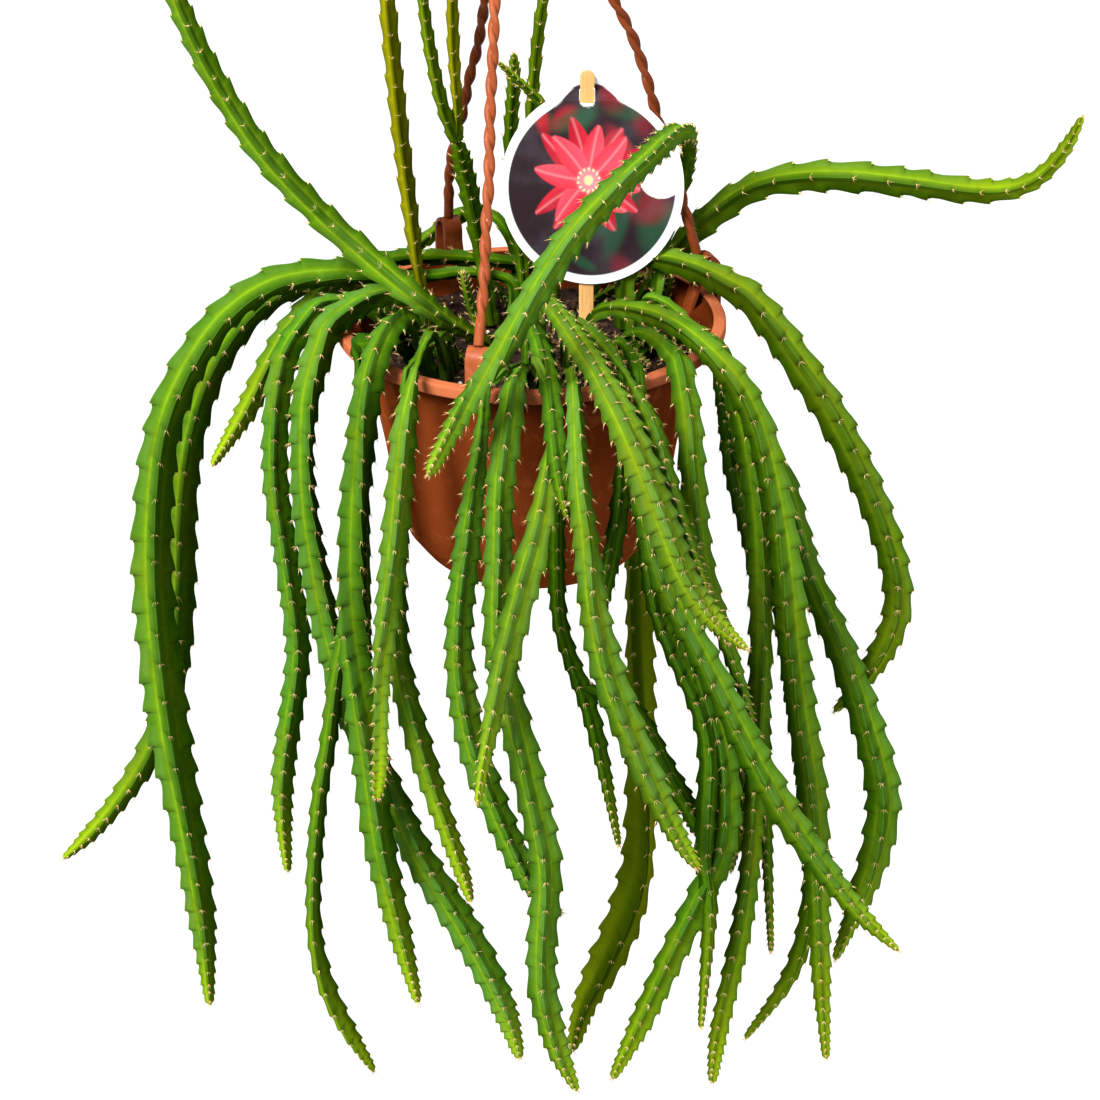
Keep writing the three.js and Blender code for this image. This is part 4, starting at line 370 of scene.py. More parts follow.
        ("DD", 4, [(7.4, -55.3, -302.6, 2.5), (6.9, -69.3, -285, 1.4), (7, -73, -280.4, 1.5), (7.2, -76.2, -276.9, 2), (7.8, -79.2, -275.2, 2.2), (8.5, -82.2, -275, 2.2), (10.5, -88, -276.8, 2.2), (13, -93, -280.5, 2), (15.2, -96, -288, 2.2), (15.8, -98.5, -298, 2.6), (15, -102, -306, 3.2), (13.2, -107, -314.5, 4.2), (10.9, -115.5, -327.5, 5.3), (7.4, -122.5, -342, 6.3), (4.1, -126.1, -354, 6.9), (-4.2, -126.3, -389.2, 6.3), (-11.3, -126.2, -425.6, 4), (-17.4, -126.2, -463, 1.5)]),
    ),
    "stem_front_long": (
        ("EE", 4, [(6.8, -45, -302.6, 3.9), (4.4, -57.8, -289.5, 2.6), (2.7, -69, -284, 2.4), (1.8, -75.2, -282, 3.2), (0.9, -81.3, -282, 3.7), (-0, -86.9, -282, 4.3), (-1, -91.7, -282, 5), (-1.9, -95.5, -288.3, 5.8), (-3.8, -100.7, -299.9, 6.3), (-6.4, -105.8, -319.7, 6.1), (-7.6, -108.2, -349.9, 6.1), (-8.1, -108.5, -391.8, 6.5), (-6.2, -108.4, -407.7, 6.8), (2.6, -108.2, -450, 7.4), (11.7, -108, -499, 7.4), (12.2, -108, -515.9, 7.1), (10.3, -108, -550.3, 6.8), (11.5, -108, -573.6, 7), (18, -108, -602.1, 5.4), (26.3, -108, -623.9, 1.8)]),
    ),
    "stem_front_left_long": (
        ("FF", 4, [(0.6, -40.6, -302.6, 3.2), (1.1, -41.5, -296.6, 3.2), (-0.6, -53.3, -290.3, 2.6), (-3.7, -70.4, -284.5, 2.9), (-5.2, -76.1, -282.2, 2.9), (-6.8, -81.1, -282, 2.7), (-8.6, -85.2, -282, 1.8), (-10.5, -88.3, -282, 1.3), (-12.3, -90.6, -282, 2.1), (-14.1, -92.3, -298.5, 2.9), (-20.5, -96.4, -348.7, 6), (-25.1, -96.9, -396.2, 6.1), (-23.5, -96.6, -428.3, 6.7), (-17.2, -96.3, -460.1, 7), (1.2, -96.1, -511.5, 6), (8.4, -96.1, -526.1, 3.9), (19.4, -96.1, -536.6, 1.2)]),
    ),
    "stem_right_low_forked": (
        ("LL", 3, [(63.8, -10.1, -302.6, 2.3), (70.8, -13.3, -292.5, 2.9), (74.3, -15.1, -288.1, 2.9), (78.5, -25, -284.4, 2.8), (81.6, -29.5, -285.2, 2.6), (84.2, -31.6, -285.6, 2.4), (86.2, -32, -288.6, 2.3), (86.8, -32, -294, 2.5), (88.4, -31, -301, 2.8), (92, -28.5, -311, 3.1), (100.8, -23.2, -329.2, 3.3), (109.8, -30.9, -372.3, 3.5), (113.9, -33.3, -398.6, 3.6), (122.7, -34.2, -453.4, 3.6), (132, -34.1, -516.1, 4.6), (135.6, -34, -557.4, 4.7), (132.4, -34, -593.1, 5.2), (125, -34, -615.4, 4.6), (106.8, -34, -645.1, 1.7)]),
        ("MM", 3, [(132.8, -34.1, -522, 3.2), (141.1, -34.1, -542.7, 3.3), (153.1, -34.1, -561.2, 1.2)]),
    ),
    "stem_back_arch": (
        ("BK1", 4, [(-0.5, 48.5, -302.6, 3.2), (-1.2, 57, -290, 3.2), (-2.3, 60, -280.7, 3.3), (-5, 62, -272.3, 3.5), (-8.7, 66, -268.5, 3.6), (-13.3, 71, -267, 3.6), (-18, 76, -267.4, 3.6), (-24.1, 82, -270.6, 3.6), (-29.7, 87, -275, 3.6), (-36.8, 90, -281, 3.5), (-41.5, 90, -285, 3.4), (-46.1, 88, -288.2, 3.2), (-50.6, 84, -290.6, 3), (-55.2, 80, -294, 2.7), (-60, 75, -299, 2.1), (-64.3, 70, -305, 1.4)]),
    ),
    "shoot_centre": (
        ("ST1", 4, [(-17.3, 20.9, -302.6, 2.2), (-20.4, 25.2, -297.2, 2.2), (-21.5, 26, -293.7, 2.4), (-24.9, 25.7, -277.5, 1.8)]),
    ),
    "shoot_on_soil": (
        ("SO1", 3, [(-32.1, -16.9, -302.6, 2.6), (-36.3, -19.5, -291.5, 2.6), (-20.6, -23, -301.1, 1.7)]),
    ),
    "shoot_thin": (
        ("TH1", 3, [(27.6, 30.8, -302.6, 2.3), (31.8, 36.9, -297.8, 2.3), (35.3, 37.9, -295.2, 2.4), (47.7, 37.5, -287.6, 2.7), (56.6, 37.1, -283.5, 1.8)]),
    ),
    "shoot_broad": (
        ("BR1", 3, [(54.2, 26.2, -302.6, 3.2), (61.6, 32.9, -297.3, 3), (63.7, 34.3, -294.4, 3.4), (64.9, 34.9, -291.3, 3.5), (66, 35.2, -288.2, 3.4), (67.1, 35.5, -285.2, 2.7), (68.2, 35.8, -282.2, 1.8)]),
    ),
    "shoot_small": (
        ("SM1", 3, [(37, -12.1, -302.6, 1.6), (42, -12.2, -298.5, 1.6), (48.6, -14.3, -297.6, 1.1), (57, -23, -301.5, 1.2)]),
    ),
    "shoot_short": (
        ("SH1", 4, [(-12.8, 36.2, -302.6, 2.7), (-15.4, 42.1, -292.1, 2.7), (-14.8, 44.2, -290.4, 2.7), (-10.1, 44.9, -293.1, 2.7), (-3.2, 44.2, -301.2, 1.6)]),
    ),
}

# bloom and painted sheen, yellow, painted shade, strip, tip length mm, tip strength, extra turn of the ribs in degrees
LOOK = {
    "L1": (0.55, 0.10, 0.00, 0.85, 42, 0.75, 0), "L2": (0.35, 0.10, 0.15, 0.7, 95, 0.95, 0),
    "L3": (0.40, 0.20, 0.00, 0.8, 60, 1.0, 10), "L4": (0.60, 0.00, 0.10, 0.6, 70, 0.95, -8),
    "L5": (0.75, 0.05, 0.00, 0.8, 45, 0.75, 6), "L6": (0.45, 0.05, 0.12, 0.7, 80, 0.95, -6),
    "L6b": (0.2, 0.0, 0.55, 0.3, 10, 0.3, 0), "M1": (0.35, 0.10, 0.20, 0.5, 110, 1.0, 12),
    "M2": (0.70, 0.15, 0.00, 0.9, 60, 1.0, -10), "N1": (0.40, 0.10, 0.15, 0.6, 100, 1.0, 0),
    "A": (0.40, 0.15, 0.00, 1.0, 30, 0.5, 0), "P": (0.10, 1.00, 0.00, 0.6, 40, 0.3, 0),
    "CD": (0.1, 0.25, 0.35, 0.5, 1, 0.0, 0), "C": (0.15, 0.35, 0.05, 0.8, 40, 0.6, 0),
    "D": (0.05, 0.95, 0.00, 0.5, 40, 0.3, 0), "E1": (0.20, 0.35, 0.00, 0.9, 60, 0.6, 0),
    "E2": (0.25, 0.20, 0.05, 0.7, 40, 0.5, 0), "E3": (0.20, 0.15, 0.10, 0.7, 30, 0.5, 20),
    "F": (0.80, 0.10, 0.00, 1.0, 34, 0.6, 0), "G": (0.45, 0.25, 0.00, 0.9, 90, 0.9, 0),
    "H": (0.45, 0.25, 0.00, 0.9, 70, 0.75, -14), "I": (0.45, 0.15, 0.00, 0.9, 100, 0.95, -16),
    "K": (0.60, 0.10, 0.00, 0.8, 90, 0.8, -12), "Q": (0.30, 0.15, 0.15, 0.6, 110, 1.0, 0),
    "J": (0.65, 0.10, 0.05, 0.9, 60, 1.0, -8), "S": (0.85, 0.25, 0.00, 1.0, 40, 1.0, 0),
    "T": (0.60, 0.15, 0.05, 0.7, 24, 0.8, 15), "U": (0.45, 0.10, 0.10, 0.7, 20, 0.5, 0),
    "JJ1": (0.2, 0.0, 0.5, 0.3, 1, 0.0, 0), "V": (0.30, 0.05, 0.25, 0.5, 60, 0.8, 0),
    "X1": (0.30, 0.05, 0.25, 0.5, 80, 0.9, 0), "X2": (0.35, 0.05, 0.20, 0.5, 90, 0.95, 0),
    "X3": (0.3, 0.05, 0.3, 0.4, 40, 0.8, 0), "Y": (0.05, 0.55, 0.28, 0.7, 60, 0.6, 30),
    "Z1": (0.35, 0.05, 0.15, 0.6, 20, 0.5, 0), "Z2": (0.80, 0.15, 0.00, 1.0, 40, 0.8, 4),
    "AA": (0.1, 0.05, 0.5, 0.3, 60, 0.8, 0), "NN": (0.15, 0.05, 0.45, 0.4, 1, 0.0, 0),
    "HH": (0.2, 0.05, 0.40, 0.4, 20, 0.4, 0), "DD": (0.80, 0.20, 0.00, 0.9, 60, 0.95, 8),
    "EE": (0.65, 0.10, 0.05, 0.8, 42, 0.75, -5), "FF": (0.60, 0.05, 0.10, 0.7, 16, 0.4, 0),
    "LL": (0.30, 0.10, 0.15, 0.5, 90, 0.95, 0), "MM": (0.3, 0.1, 0.15, 0.5, 30, 0.8, 0),
    "BK1": (0.30, 0.10, 0.15, 0.5, 10, 0.3, 0), "ST1": (0.3, 0.2, 0.1, 0.5, 14, 0.6, 0),
    "SO1": (0.2, 0.05, 0.3, 0.4, 10, 0.3, 0), "TH1": (0.2, 0.2, 0.1, 0.5, 16, 0.6, 0),
    "BR1": (0.2, 0.1, 0.25, 0.5, 10, 0.4, 0), "SM1": (0.2, 0.1, 0.3, 0.4, 10, 0.4, 0),
    "SH1": (0.3, 0.2, 0.1, 0.5, 10, 0.5, 0),
}

# where a rib faces, seen from the front: (height in the picture, degrees to the right of the middle), along the hanging part
FACE = {
    "L1": [(430, 11), (560, 8), (700, 0)], "L2": [(480, 0), (560, -6)], "L3": [(400, 0)],
    "L4": [(375, -6), (500, -9), (640, -5)], "L5": [(350, 14), (400, 25), (430, 33), (525, 31), (640, 20), (860, 5), (960, 0)],
    "L6": [(350, -14), (400, 2), (450, 16), (540, 35), (640, 60), (740, 80), (830, 95), (960, 92)],
    "M1": [(725, 0), (900, -4)], "M2": [(365, 38), (392, 19), (465, 8), (540, 3), (620, -16), (700, -42)],
    "N1": [(690, 0), (800, 2)], "DD": [(505, -6), (590, -11), (700, 0)], "FF": [(450, -8), (556, -6), (660, -10), (800, 0)],
    "EE": [(405, -6), (457, 0), (550, 6), (718, -9), (818, -14), (900, 0)],
    "Z2": [(390, 30), (460, 25), (546, 16), (605, -5), (700, -12)], "S": [(400, 8), (470, 11), (560, 11)],
    "T": [(430, 10), (500, 5)], "U": [(430, 10), (520, 9)], "H": [(300, -7), (400, 12), (483, 12), (603, 6)],
    "J": [(640, -19), (696, -19), (810, -9), (900, 0)], "I": [(397, -11), (500, -26), (634, -17), (712, -17), (800, 0)],
    "K": [(575, 10), (654, 16), (715, -5), (775, 0), (825, 8)], "Q": [(500, 14), (650, 17), (760, 5), (910, -11)],
    "X2": [(935, 0)], "Y": [(640, -17), (760, 5), (862, 19), (940, 8)], "F": [(200, 0), (300, 2), (354, 24), (415, 76), (450, 84)],
}
VIEW = np.array([0.0, -0.925, 0.38])

# areole spacing along one rib, mm
PITCH_MM = {
    "L1": 17.0, "L2": 15.5, "L3": 9.5, "L4": 11.3, "L5": 12.0, "L6": 13.5, "L6b": 13.0, "M1": 12.5, "M2": 12.2, "N1": 11.2,
    "A": 14.5, "P": 13.2, "CD": 12.0, "C": 9.5, "D": 11.5, "E1": 10.5, "E2": 10.0, "E3": 9.5, "F": 10.3, "G": 15.2, "H": 14.4,
    "I": 14.2, "K": 13.6, "Q": 12.6, "J": 13.6, "S": 7.9, "T": 8.4, "U": 12.4, "JJ1": 12.0, "V": 9.2, "X1": 12.0, "X2": 13.0,
    "X3": 11.0, "Y": 16.0, "Z1": 12.0, "Z2": 12.8, "AA": 9.8, "NN": 11.0, "HH": 12.0, "DD": 14.5, "EE": 13.5, "FF": 11.0,
    "LL": 12.0, "MM": 9.0, "BK1": 13.0,
}

def unit(v):
    return v / np.maximum(np.linalg.norm(v, axis=-1, keepdims=True), 1e-12)

def dense_path(P, step=0.5):
    """centripetal Catmull-Rom through the stations, resampled evenly"""
    X = P[:, :3]
    n = len(X)
    ext = np.vstack([2 * X[0] - X[1], X, 2 * X[-1] - X[-2]])
    out, rr, idx = [], [], []
    for i in range(n - 1):
        p0, p1, p2, p3 = ext[i], ext[i + 1], ext[i + 2], ext[i + 3]
        d = lambda a, b: max(np.linalg.norm(a - b) ** 0.5, 1e-4)
        t0 = 0; t1 = t0 + d(p0, p1); t2 = t1 + d(p1, p2); t3 = t2 + d(p2, p3)
        m = max(2, int(np.linalg.norm(p2 - p1) / step) + 1)
        u = np.linspace(0, 1, m, endpoint=False)
        t = (t1 + (t2 - t1) * u)[:, None]
        A1 = (t1 - t) / (t1 - t0) * p0 + (t - t0) / (t1 - t0) * p1
        A2 = (t2 - t) / (t2 - t1) * p1 + (t - t1) / (t2 - t1) * p2
        A3 = (t3 - t) / (t3 - t2) * p2 + (t - t2) / (t3 - t2) * p3
        B1 = (t2 - t) / (t2 - t0) * A1 + (t - t0) / (t2 - t0) * A2
        B2 = (t3 - t) / (t3 - t1) * A2 + (t - t1) / (t3 - t1) * A3
        out.append((t2 - t) / (t2 - t1) * B1 + (t - t1) / (t2 - t1) * B2)
        rr.append(P[i, 3] + (P[i + 1, 3] - P[i, 3]) * u)
        idx.append(i + u)
    Q = np.vstack(out + [X[-1:]]); R = np.concatenate(rr + [P[-1:, 3]]); I = np.concatenate(idx + [[n - 1]])
    s = np.concatenate([[0], np.cumsum(np.linalg.norm(np.diff(Q, axis=0), axis=1))])
    return Q, R, s, I

def smooth1(a, k):
    if k < 1:
        return a
    ker = np.hanning(2 * k + 3)[1:-1]; ker /= ker.sum()
    pad = np.pad(a, [(k, k)] + [(0, 0)] * (a.ndim - 1), mode="edge")
    if a.ndim == 1:
        return np.convolve(pad, ker, "valid")
    return np.stack([np.convolve(pad[:, i], ker, "valid") for i in range(a.shape[1])], 1)

class Run:
    """one ribbed run: centre line, frames, places of the areoles"""
    def __init__(self, key, ribs, pts, rng):
        self.key, self.ribs, self.rng = key, ribs, rng
        P = np.array(pts, float)
        Q, R, s, I = dense_path(P)
        L = s[-1]
        grid = np.linspace(0, L, int(L / 0.5) + 1)
        Q = np.stack([np.interp(grid, s, Q[:, i]) for i in range(3)], 1)
        R = np.interp(grid, s, R) * {"F": 1.12, "P": 1.22, "D": 1.12, "C": 1.12}.get(key, 1.02); I = np.interp(grid, s, I)
        Rs = smooth1(R, 7)
        self.rtip = R[-1]
        T = unit(np.gradient(smooth1(Q, 3), axis=0))
        mid = int(np.argmin(np.abs(I - len(P) // 2)))
        Nn = np.zeros_like(T)
        v = VIEW - T[mid] * VIEW.dot(T[mid]); Nn[mid] = v / np.linalg.norm(v)
        for rngd, st in ((range(mid + 1, len(T)), -1), (range(mid - 1, -1, -1), 1)):
            for i in rngd:
                w = Nn[i + st] - T[i] * Nn[i + st].dot(T[i]); Nn[i] = w / np.linalg.norm(w)
        B = np.cross(T, Nn)
        v = unit(CAM - Q)
        beta = np.unwrap(np.arctan2((v * B).sum(1), (v * Nn).sum(1)))
        if key in FACE:
            f, u_ = math.cos(PITCH), math.sin(PITCH)
            d = Q - CAM
            depth = d[:, 1] * f - d[:, 2] * u_
            row = 550 - 3621.19 * (d[:, 1] * u_ + d[:, 2] * f) / depth
            cs, ct = [], []
            for y_, al in FACE[key]:
                cross = np.where((row[:-1] - y_) * (row[1:] - y_) <= 0)[0]
                i = int(cross[-1]) if len(cross) else int(np.argmin(np.abs(row - y_)))
                cs.append(grid[i]); ct.append(beta[i] - math.radians(al))
            o = np.argsort(cs)
            turn = smooth1(np.interp(grid, np.array(cs)[o], np.array(ct)[o]), 24)
            turn = turn + math.radians(3) * np.sin(grid / 60.0 + rng.uniform(0, 6))
        else:
            turn = beta[int(len(grid) * 0.62)] + math.radians(LOOK[key][6]) + math.radians(7) * np.sin(grid / 75.0 + rng.uniform(0, 6))
        c, sn = np.cos(turn)[:, None], np.sin(turn)[:, None]
        self.N, self.B, self.T = Nn * c + B * sn, B * c - Nn * sn, T
        self.Q, self.L, self.grid = Q, L, grid
        # rounded end
        cap = min(2.2 * max(self.rtip, 1.4), L * 0.3)
        x = np.clip((grid - (L - cap)) / cap, 0, 1)
        Rs = np.maximum(Rs, 0.9)
        self.R = Rs * np.sqrt(np.maximum(1 - x ** 2, 0.0))
        self.Rbase = Rs
        rref = np.percentile(R, 70)
        p0 = PITCH_MM.get(key, 5.0 + 1.12 * rref)
        pitch = p0 * np.clip(0.30 + 0.70 * (L - grid) / (14 + 3.2 * p0), 0.30, 1.0) * np.clip(Rs / rref, 0.8, 1.05)
        ph = np.concatenate([[0], np.cumsum(0.5 * (1 / pitch[1:] + 1 / pitch[:-1]) * np.diff(grid))])
        n = max(2, round(ph[-1]))
        self.ph = ph / ph[-1] * n
        self.n = n
        self.rref = rref

    def at(self, s):
        f = lambda A: np.stack([np.interp(s, self.grid, A[:, i]) for i in range(3)], -1)
        return f(self.Q), f(self.T), f(self.N), f(self.B)

HALF = [0.0, 0.08, 0.30, 0.66]     # ring places inside half an areole spacing

def tooth(f):
    """height of the rib's edge between two areoles, 0..1; f from the last areole towards the tip"""
    return np.interp(f, [0.0, 0.04, 0.11, 0.24, 0.39, 0.50, 0.61, 0.74, 0.89, 0.96, 1.0], [1.0, 0.48, 0.14, 0.0, 0.10, 0.26, 0.44, 0.67, 0.91, 0.99, 1.0])

def build_run(run, skin, deco, look):
    rng, ribs = run.rng, run.ribs
    bloom_and_sheen, yellow, dark, strip, tlen, tstr, _ = look
    nh = run.n * 2
    halves = HALF if run.rref > 3.0 else [0.0, 0.10, 0.45]
    Phi = np.array([(h + x) * 0.5 for h in range(nh) for x in halves] + [nh * 0.5])
    M = len(Phi)
    # jitter of every areole
    ks = np.arange(-1, run.n + 2)
    TS = [0.0, 0.15, 0.58]         # ridge, then flank
    valley = 0.50 if ribs == 4 else 0.40
    rid_s, rid_f = [], []
    for j in range(ribs):
        off = 0.5 * (j % 2) if ribs == 4 else (0.0, 0.5, 0.5)[j]
        jit = rng.uniform(-0.16, 0.16, len(ks))
        ak = ks + off                                  # nominal phase of areole k
        fade = np.clip(np.minimum(ak / 1.0, (run.n - ak) / 1.5), 0, 1)
        w = np.interp(Phi, ak, jit * fade)
        f = (Phi - off) % 1.0
        s = np.interp(Phi + w, run.ph, run.grid)
        s[0] = 0; s[-1] = run.L
        rid_s.append(s); rid_f.append(f)
    rid_s = np.array(rid_s); rid_f = np.array(rid_f)
    th = np.array([tooth(f) for f in rid_f])
    # a tooth's own height
    amp = 0.24 * np.clip(run.rref / 7.0, 0.75, 1.0) ** -0.35
    s_val = [(rid_s[j] + rid_s[(j + 1) % ribs]) * 0.5 for j in range(ribs)]
    def ring_pts(s, ang, rad, push_t=0.0, side=0.0):
        Q, T, Nn, B = run.at(s)
        ca, sa = np.cos(ang), np.sin(ang)
        return Q + Nn * (ca * rad)[:, None] + B * (sa * rad)[:, None] + T * np.broadcast_to(push_t, s.shape)[:, None]
    seq = []                                           # around the section
    for j in range(ribs):
        a = 2 * math.pi * j / ribs
        nxt = (j + 1) % ribs
        a2 = a + math.pi / ribs
        R0 = np.interp(rid_s[j], run.grid, run.R)
        hump = 1 - amp * 0.62 + amp * th[j]
        lean = 0.055 * run.rref * np.clip(th[j] - 0.6, 0, 1) / 0.4 * (R0 / np.maximum(run.rref, 1e-6))
        ridge = (rid_s[j], np.full(M, a), R0 * hump, lean, j, 0.0)
        seq.append(ridge)
        Rv = np.interp(s_val[j], run.grid, run.R) * valley
        for t in TS[1:]:
            seq.append((j, nxt, t, +1))
        seq.append(("v", s_val[j], np.full(M, a2), Rv))
        for t in TS[:0:-1]:
            seq.append((nxt, j, t, -1))
    # positions
    ridges = {}
    for e in seq:
        if len(e) == 6:
            ridges[e[4]] = e
    pos = []; tt = []; crease = []
    for e in seq:
        if len(e) == 6:
            s, ang, rad, lean, j, _ = e
            pos.append(ring_pts(s, ang, rad, lean)); tt.append(0.0)
            c = np.where((rid_f[j] > 0.02) & (rid_f[j] < 0.08), 1.0, np.where(rid_f[j] < 0.02, 0.5, 0.0))
            crease.append(c)
        elif e[0] == "v":
            _, s, ang, rad = e
            pos.append(ring_pts(s, ang, rad)); tt.append(1.0); crease.append(np.zeros(M))
        else:
            j, other, t, sg = e
            s0, ang0, rad0, lean0, _, _ = ridges[j]
            vj = j if sg > 0 else (j - 1) % ribs
            a = 2 * math.pi * j / ribs
            sv = s_val[vj]
            Rv = np.interp(sv, run.grid, run.R) * valley
            s = s0 * (1 - t) + sv * t
            # section plane: from ridge (rad0, angle 0) to valley (Rv, angle pi/ribs)
            da = math.pi / ribs
            x = rad0 * (1 - t) + Rv * math.cos(da) * t
            y = Rv * math.sin(da) * t
            # normal of the flank and its bulge
            nx, ny = math.sin(da) * 0.75, math.cos(da) * 0.75
            R0 = np.interp(s, run.grid, run.R)
            k = {0.15: 0.045, 0.58: 0.020}[t]
            k2 = {0.15: 0.020, 0.58: 0.035}[t]
            b = R0 * (k + k2 * np.clip(th[j], 0, 1) ** 1.5)
            x = x + nx * b; y = y + ny * b
            # the groove below each tooth reaches down the flank
            g = np.where((rid_f[j] > 0.02) & (rid_f[j] < 0.08), 1.0, 0.0) * R0 * {0.15: 0.050, 0.58: 0.060}[t]
            x = x - nx * g; y = y - ny * g
            rad = np.hypot(x, y); ang = a + sg * np.arctan2(y, x)
            pos.append(ring_pts(s, ang, rad, lean0 * (1 - t) ** 2)); tt.append(t)
            crease.append(np.where((rid_f[j] > 0.02) & (rid_f[j] < 0.08), 1 - 0.5 * t, 0.0))
    W = len(pos)
    pos = np.array(pos).transpose(1, 0, 2)             # M, W, 3
    tt = np.broadcast_to(np.array(tt), (M, W)); crease = np.array(crease).T
    s_mean = rid_s.mean(0)
    tip = np.clip(1 - (run.L - s_mean) / max(tlen, 1), 0, 1) ** 1.3 * tstr
    near_root = np.clip(1 - s_mean / 22.0, 0, 1)
    V = pos.reshape(-1, 3)
    tone = np.zeros((M, W, 4)); tone[..., 0] = tt; tone[..., 1] = tip[:, None]; tone[..., 2] = crease; tone[..., 3] = rng.uniform()
    look_a = np.zeros((M, W, 4)); look_a[..., 0] = bloom_and_sheen; look_a[..., 1] = yellow
    # painted shade: faces turned to the plant's middle or downwards are darkened, and the bloom and painted sheen stay
    # on the faces turned out and up
    Qc, _, _, _ = run.at(s_mean)
    nrm = unit(pos - Qc[:, None, :])
    hor = np.stack([Qc[:, 0] - PX, Qc[:, 1], np.zeros(M)], 1)
    hor = hor / np.maximum(np.linalg.norm(hor, axis=1, keepdims=True), 25.0)
    lit = unit(hor * 0.90 + np.array([0.0, 0.0, 0.55]))
    inner = np.clip(0.40 - 0.80 * (nrm * lit[:, None, :]).sum(-1), 0, 1)
    look_a[..., 2] = np.clip((dark + near_root * 0.5)[:, None] + inner * 0.85, 0, 1); look_a[..., 3] = strip
    look_a[..., 0] = bloom_and_sheen * (1 - inner)
    # last ring closes to a point, the first one too
    i = np.arange(M - 2)
    k = np.arange(W)
    ii, kk = np.meshgrid(i, k, indexing="ij")
    k2 = (kk + 1) % W
    quads = np.stack([ii * W + kk, ii * W + k2, (ii + 1) * W + k2, (ii + 1) * W + kk], -1).reshape(-1, 4)
    V2 = np.vstack([V[: (M - 1) * W], run.Q[:1], run.Q[-1:]])
    a0, a1 = (M - 1) * W, (M - 1) * W + 1
    tris0 = np.stack([np.full(W, a0), (k + 1) % W, k], -1)
    tris1 = np.stack([np.full(W, a1), (M - 2) * W + k, (M - 2) * W + (k + 1) % W], -1)
    tn = np.vstack([tone.reshape(-1, 4)[: (M - 1) * W], [[0.5, 0, 0, 0]], [[0.2, tstr, 0, 0]]])
    lk = np.vstack([look_a.reshape(-1, 4)[: (M - 1) * W], [[bloom_and_sheen, yellow, dark, strip]] * 2])
    skin.add_block(V2, [quads, tris0, tris1], tn, lk)
    # ---------------- areoles with their spines
    rad_scale = np.clip(run.rref / 7.0, 0.55, 1.0)
    for j in range(ribs):
        a = 2 * math.pi * j / ribs
        hits = np.where((rid_f[j] < 1e-6))[0]
        for m in hits:
            s = rid_s[j][m]
            if s < 9 and run.L > 60:
                continue
            if m >= M - 1:
                continue
            if run.L - s > 40 and float(np.interp(s, run.grid, run.Rbase)) < 0.5 * run.rref:
                continue
            s2 = min(s + 0.035 * (run.L / run.n), run.L)
            R0 = float(np.interp(s2, run.grid, run.R))
            Q, T, Nn, B = run.at(np.array([s2]))
            out = Nn[0] * math.cos(a) + B[0] * math.sin(a)
            side = np.cross(T[0], out)
            c = Q[0] + out * R0 * (1 - amp * 0.62 + amp * 0.42)
            near_tip = max(0.0, 1 - (run.L - s) / 30.0)
            slim = np.clip(float(np.interp(s2, run.grid, run.Rbase)) / (0.85 * run.rref), 0.55, 1.0) * (0.72 + 0.28 * min(1.0, s / 90.0))
            areole(deco, c, out, T[0], side, rad_scale * slim * (0.78 + 0.22 * rng.uniform()) * (1 - 0.25 * near_tip), rng, near_tip)
    # the crown of the tip
    Q, T, Nn, B = run.at(np.array([run.L - 0.4]))
    for q in range(4):
        a = q * 1.57 + 0.4
        out = unit(Nn[0] * math.cos(a) * 0.6 + B[0] * math.sin(a) * 0.6 + T[0])
        c = Q[0] + (Nn[0] * math.cos(a) + B[0] * math.sin(a)) * 0.5 * max(run.rtip, 1) * 0.6 - T[0] * 0.2
        areole(deco, c, out, T[0], np.cross(T[0], out), rad_scale * 0.6, rng, 1.0)

def blob_template():
    V = [(0, 0, 1)] + [(math.cos(k * math.pi / 3), math.sin(k * math.pi / 3), 0.12 * (-1) ** k) for k in range(6)] + [(0, 0, -0.9)]
    F = []
    for k in range(6):
        k2 = (k + 1) % 6
        F.append((0, 1 + k, 1 + k2)); F.append((7, 1 + k2, 1 + k))
    return np.array(V, float), np.array(F)
BV, BF = blob_template()

def spine(deco, c, d, bend, ln, r):
    """a fine curved bristle: three sides, two steps and a point"""
    u = unit(np.cross(d, [0.31, 0.22, 0.92])); w = np.cross(d, u)
    pts = []
    for i, (f, q) in enumerate(((0.0, 1.0), (0.45, 0.72))):
        p = c + d * ln * f + bend * ln * f * f
        for k in range(3):
            a = k * 2.0944
            pts.append(p + (u * math.cos(a) + w * math.sin(a)) * r * q)
    pts.append(c + d * ln + bend * ln)
    F = [(0, 1, 4), (0, 4, 3), (1, 2, 5), (1, 5, 4), (2, 0, 3), (2, 3, 5), (3, 4, 6), (4, 5, 6), (5, 3, 6)]
    deco.add_tris(np.array(pts), np.array(F), 1)

def areole(deco, c, out, tan, side, sc, rng, near_tip):
    V = BV * (1 + rng.uniform(-0.14, 0.14, BV.shape))
    ax = unit(out * 0.8 + tan * 0.35)
    e1 = unit(tan - ax * tan.dot(ax)); e2 = np.cross(ax, e1)
    P = c + (V[:, :1] * e1 * 0.78 + V[:, 1:2] * e2 * 0.84 + V[:, 2:] * ax * 0.62) * sc
    deco.add_tris(P, BF, 0)
    n = int(rng.integers(3, 6)) + (1 if near_tip > 0.3 else 0)
    for i in range(n):
        lat = (i - (n - 1) / 2) / max((n - 1) / 2, 1) * 0.95 + rng.uniform(-0.22, 0.22)
        d = unit(out * rng.uniform(0.45, 1.0) + tan * rng.uniform(0.25, 1.0) + side * lat)
        ln = rng.uniform(1.5, 3.6) * (0.72 + 0.28 * sc) * (1 - 0.25 * near_tip)
        bend = tan * rng.uniform(0.1, 0.4) + side * rng.uniform(-0.15, 0.15)
        spine(deco, c + d * 0.3 * sc, d, bend, ln, 0.105 * (0.75 + 0.25 * sc))

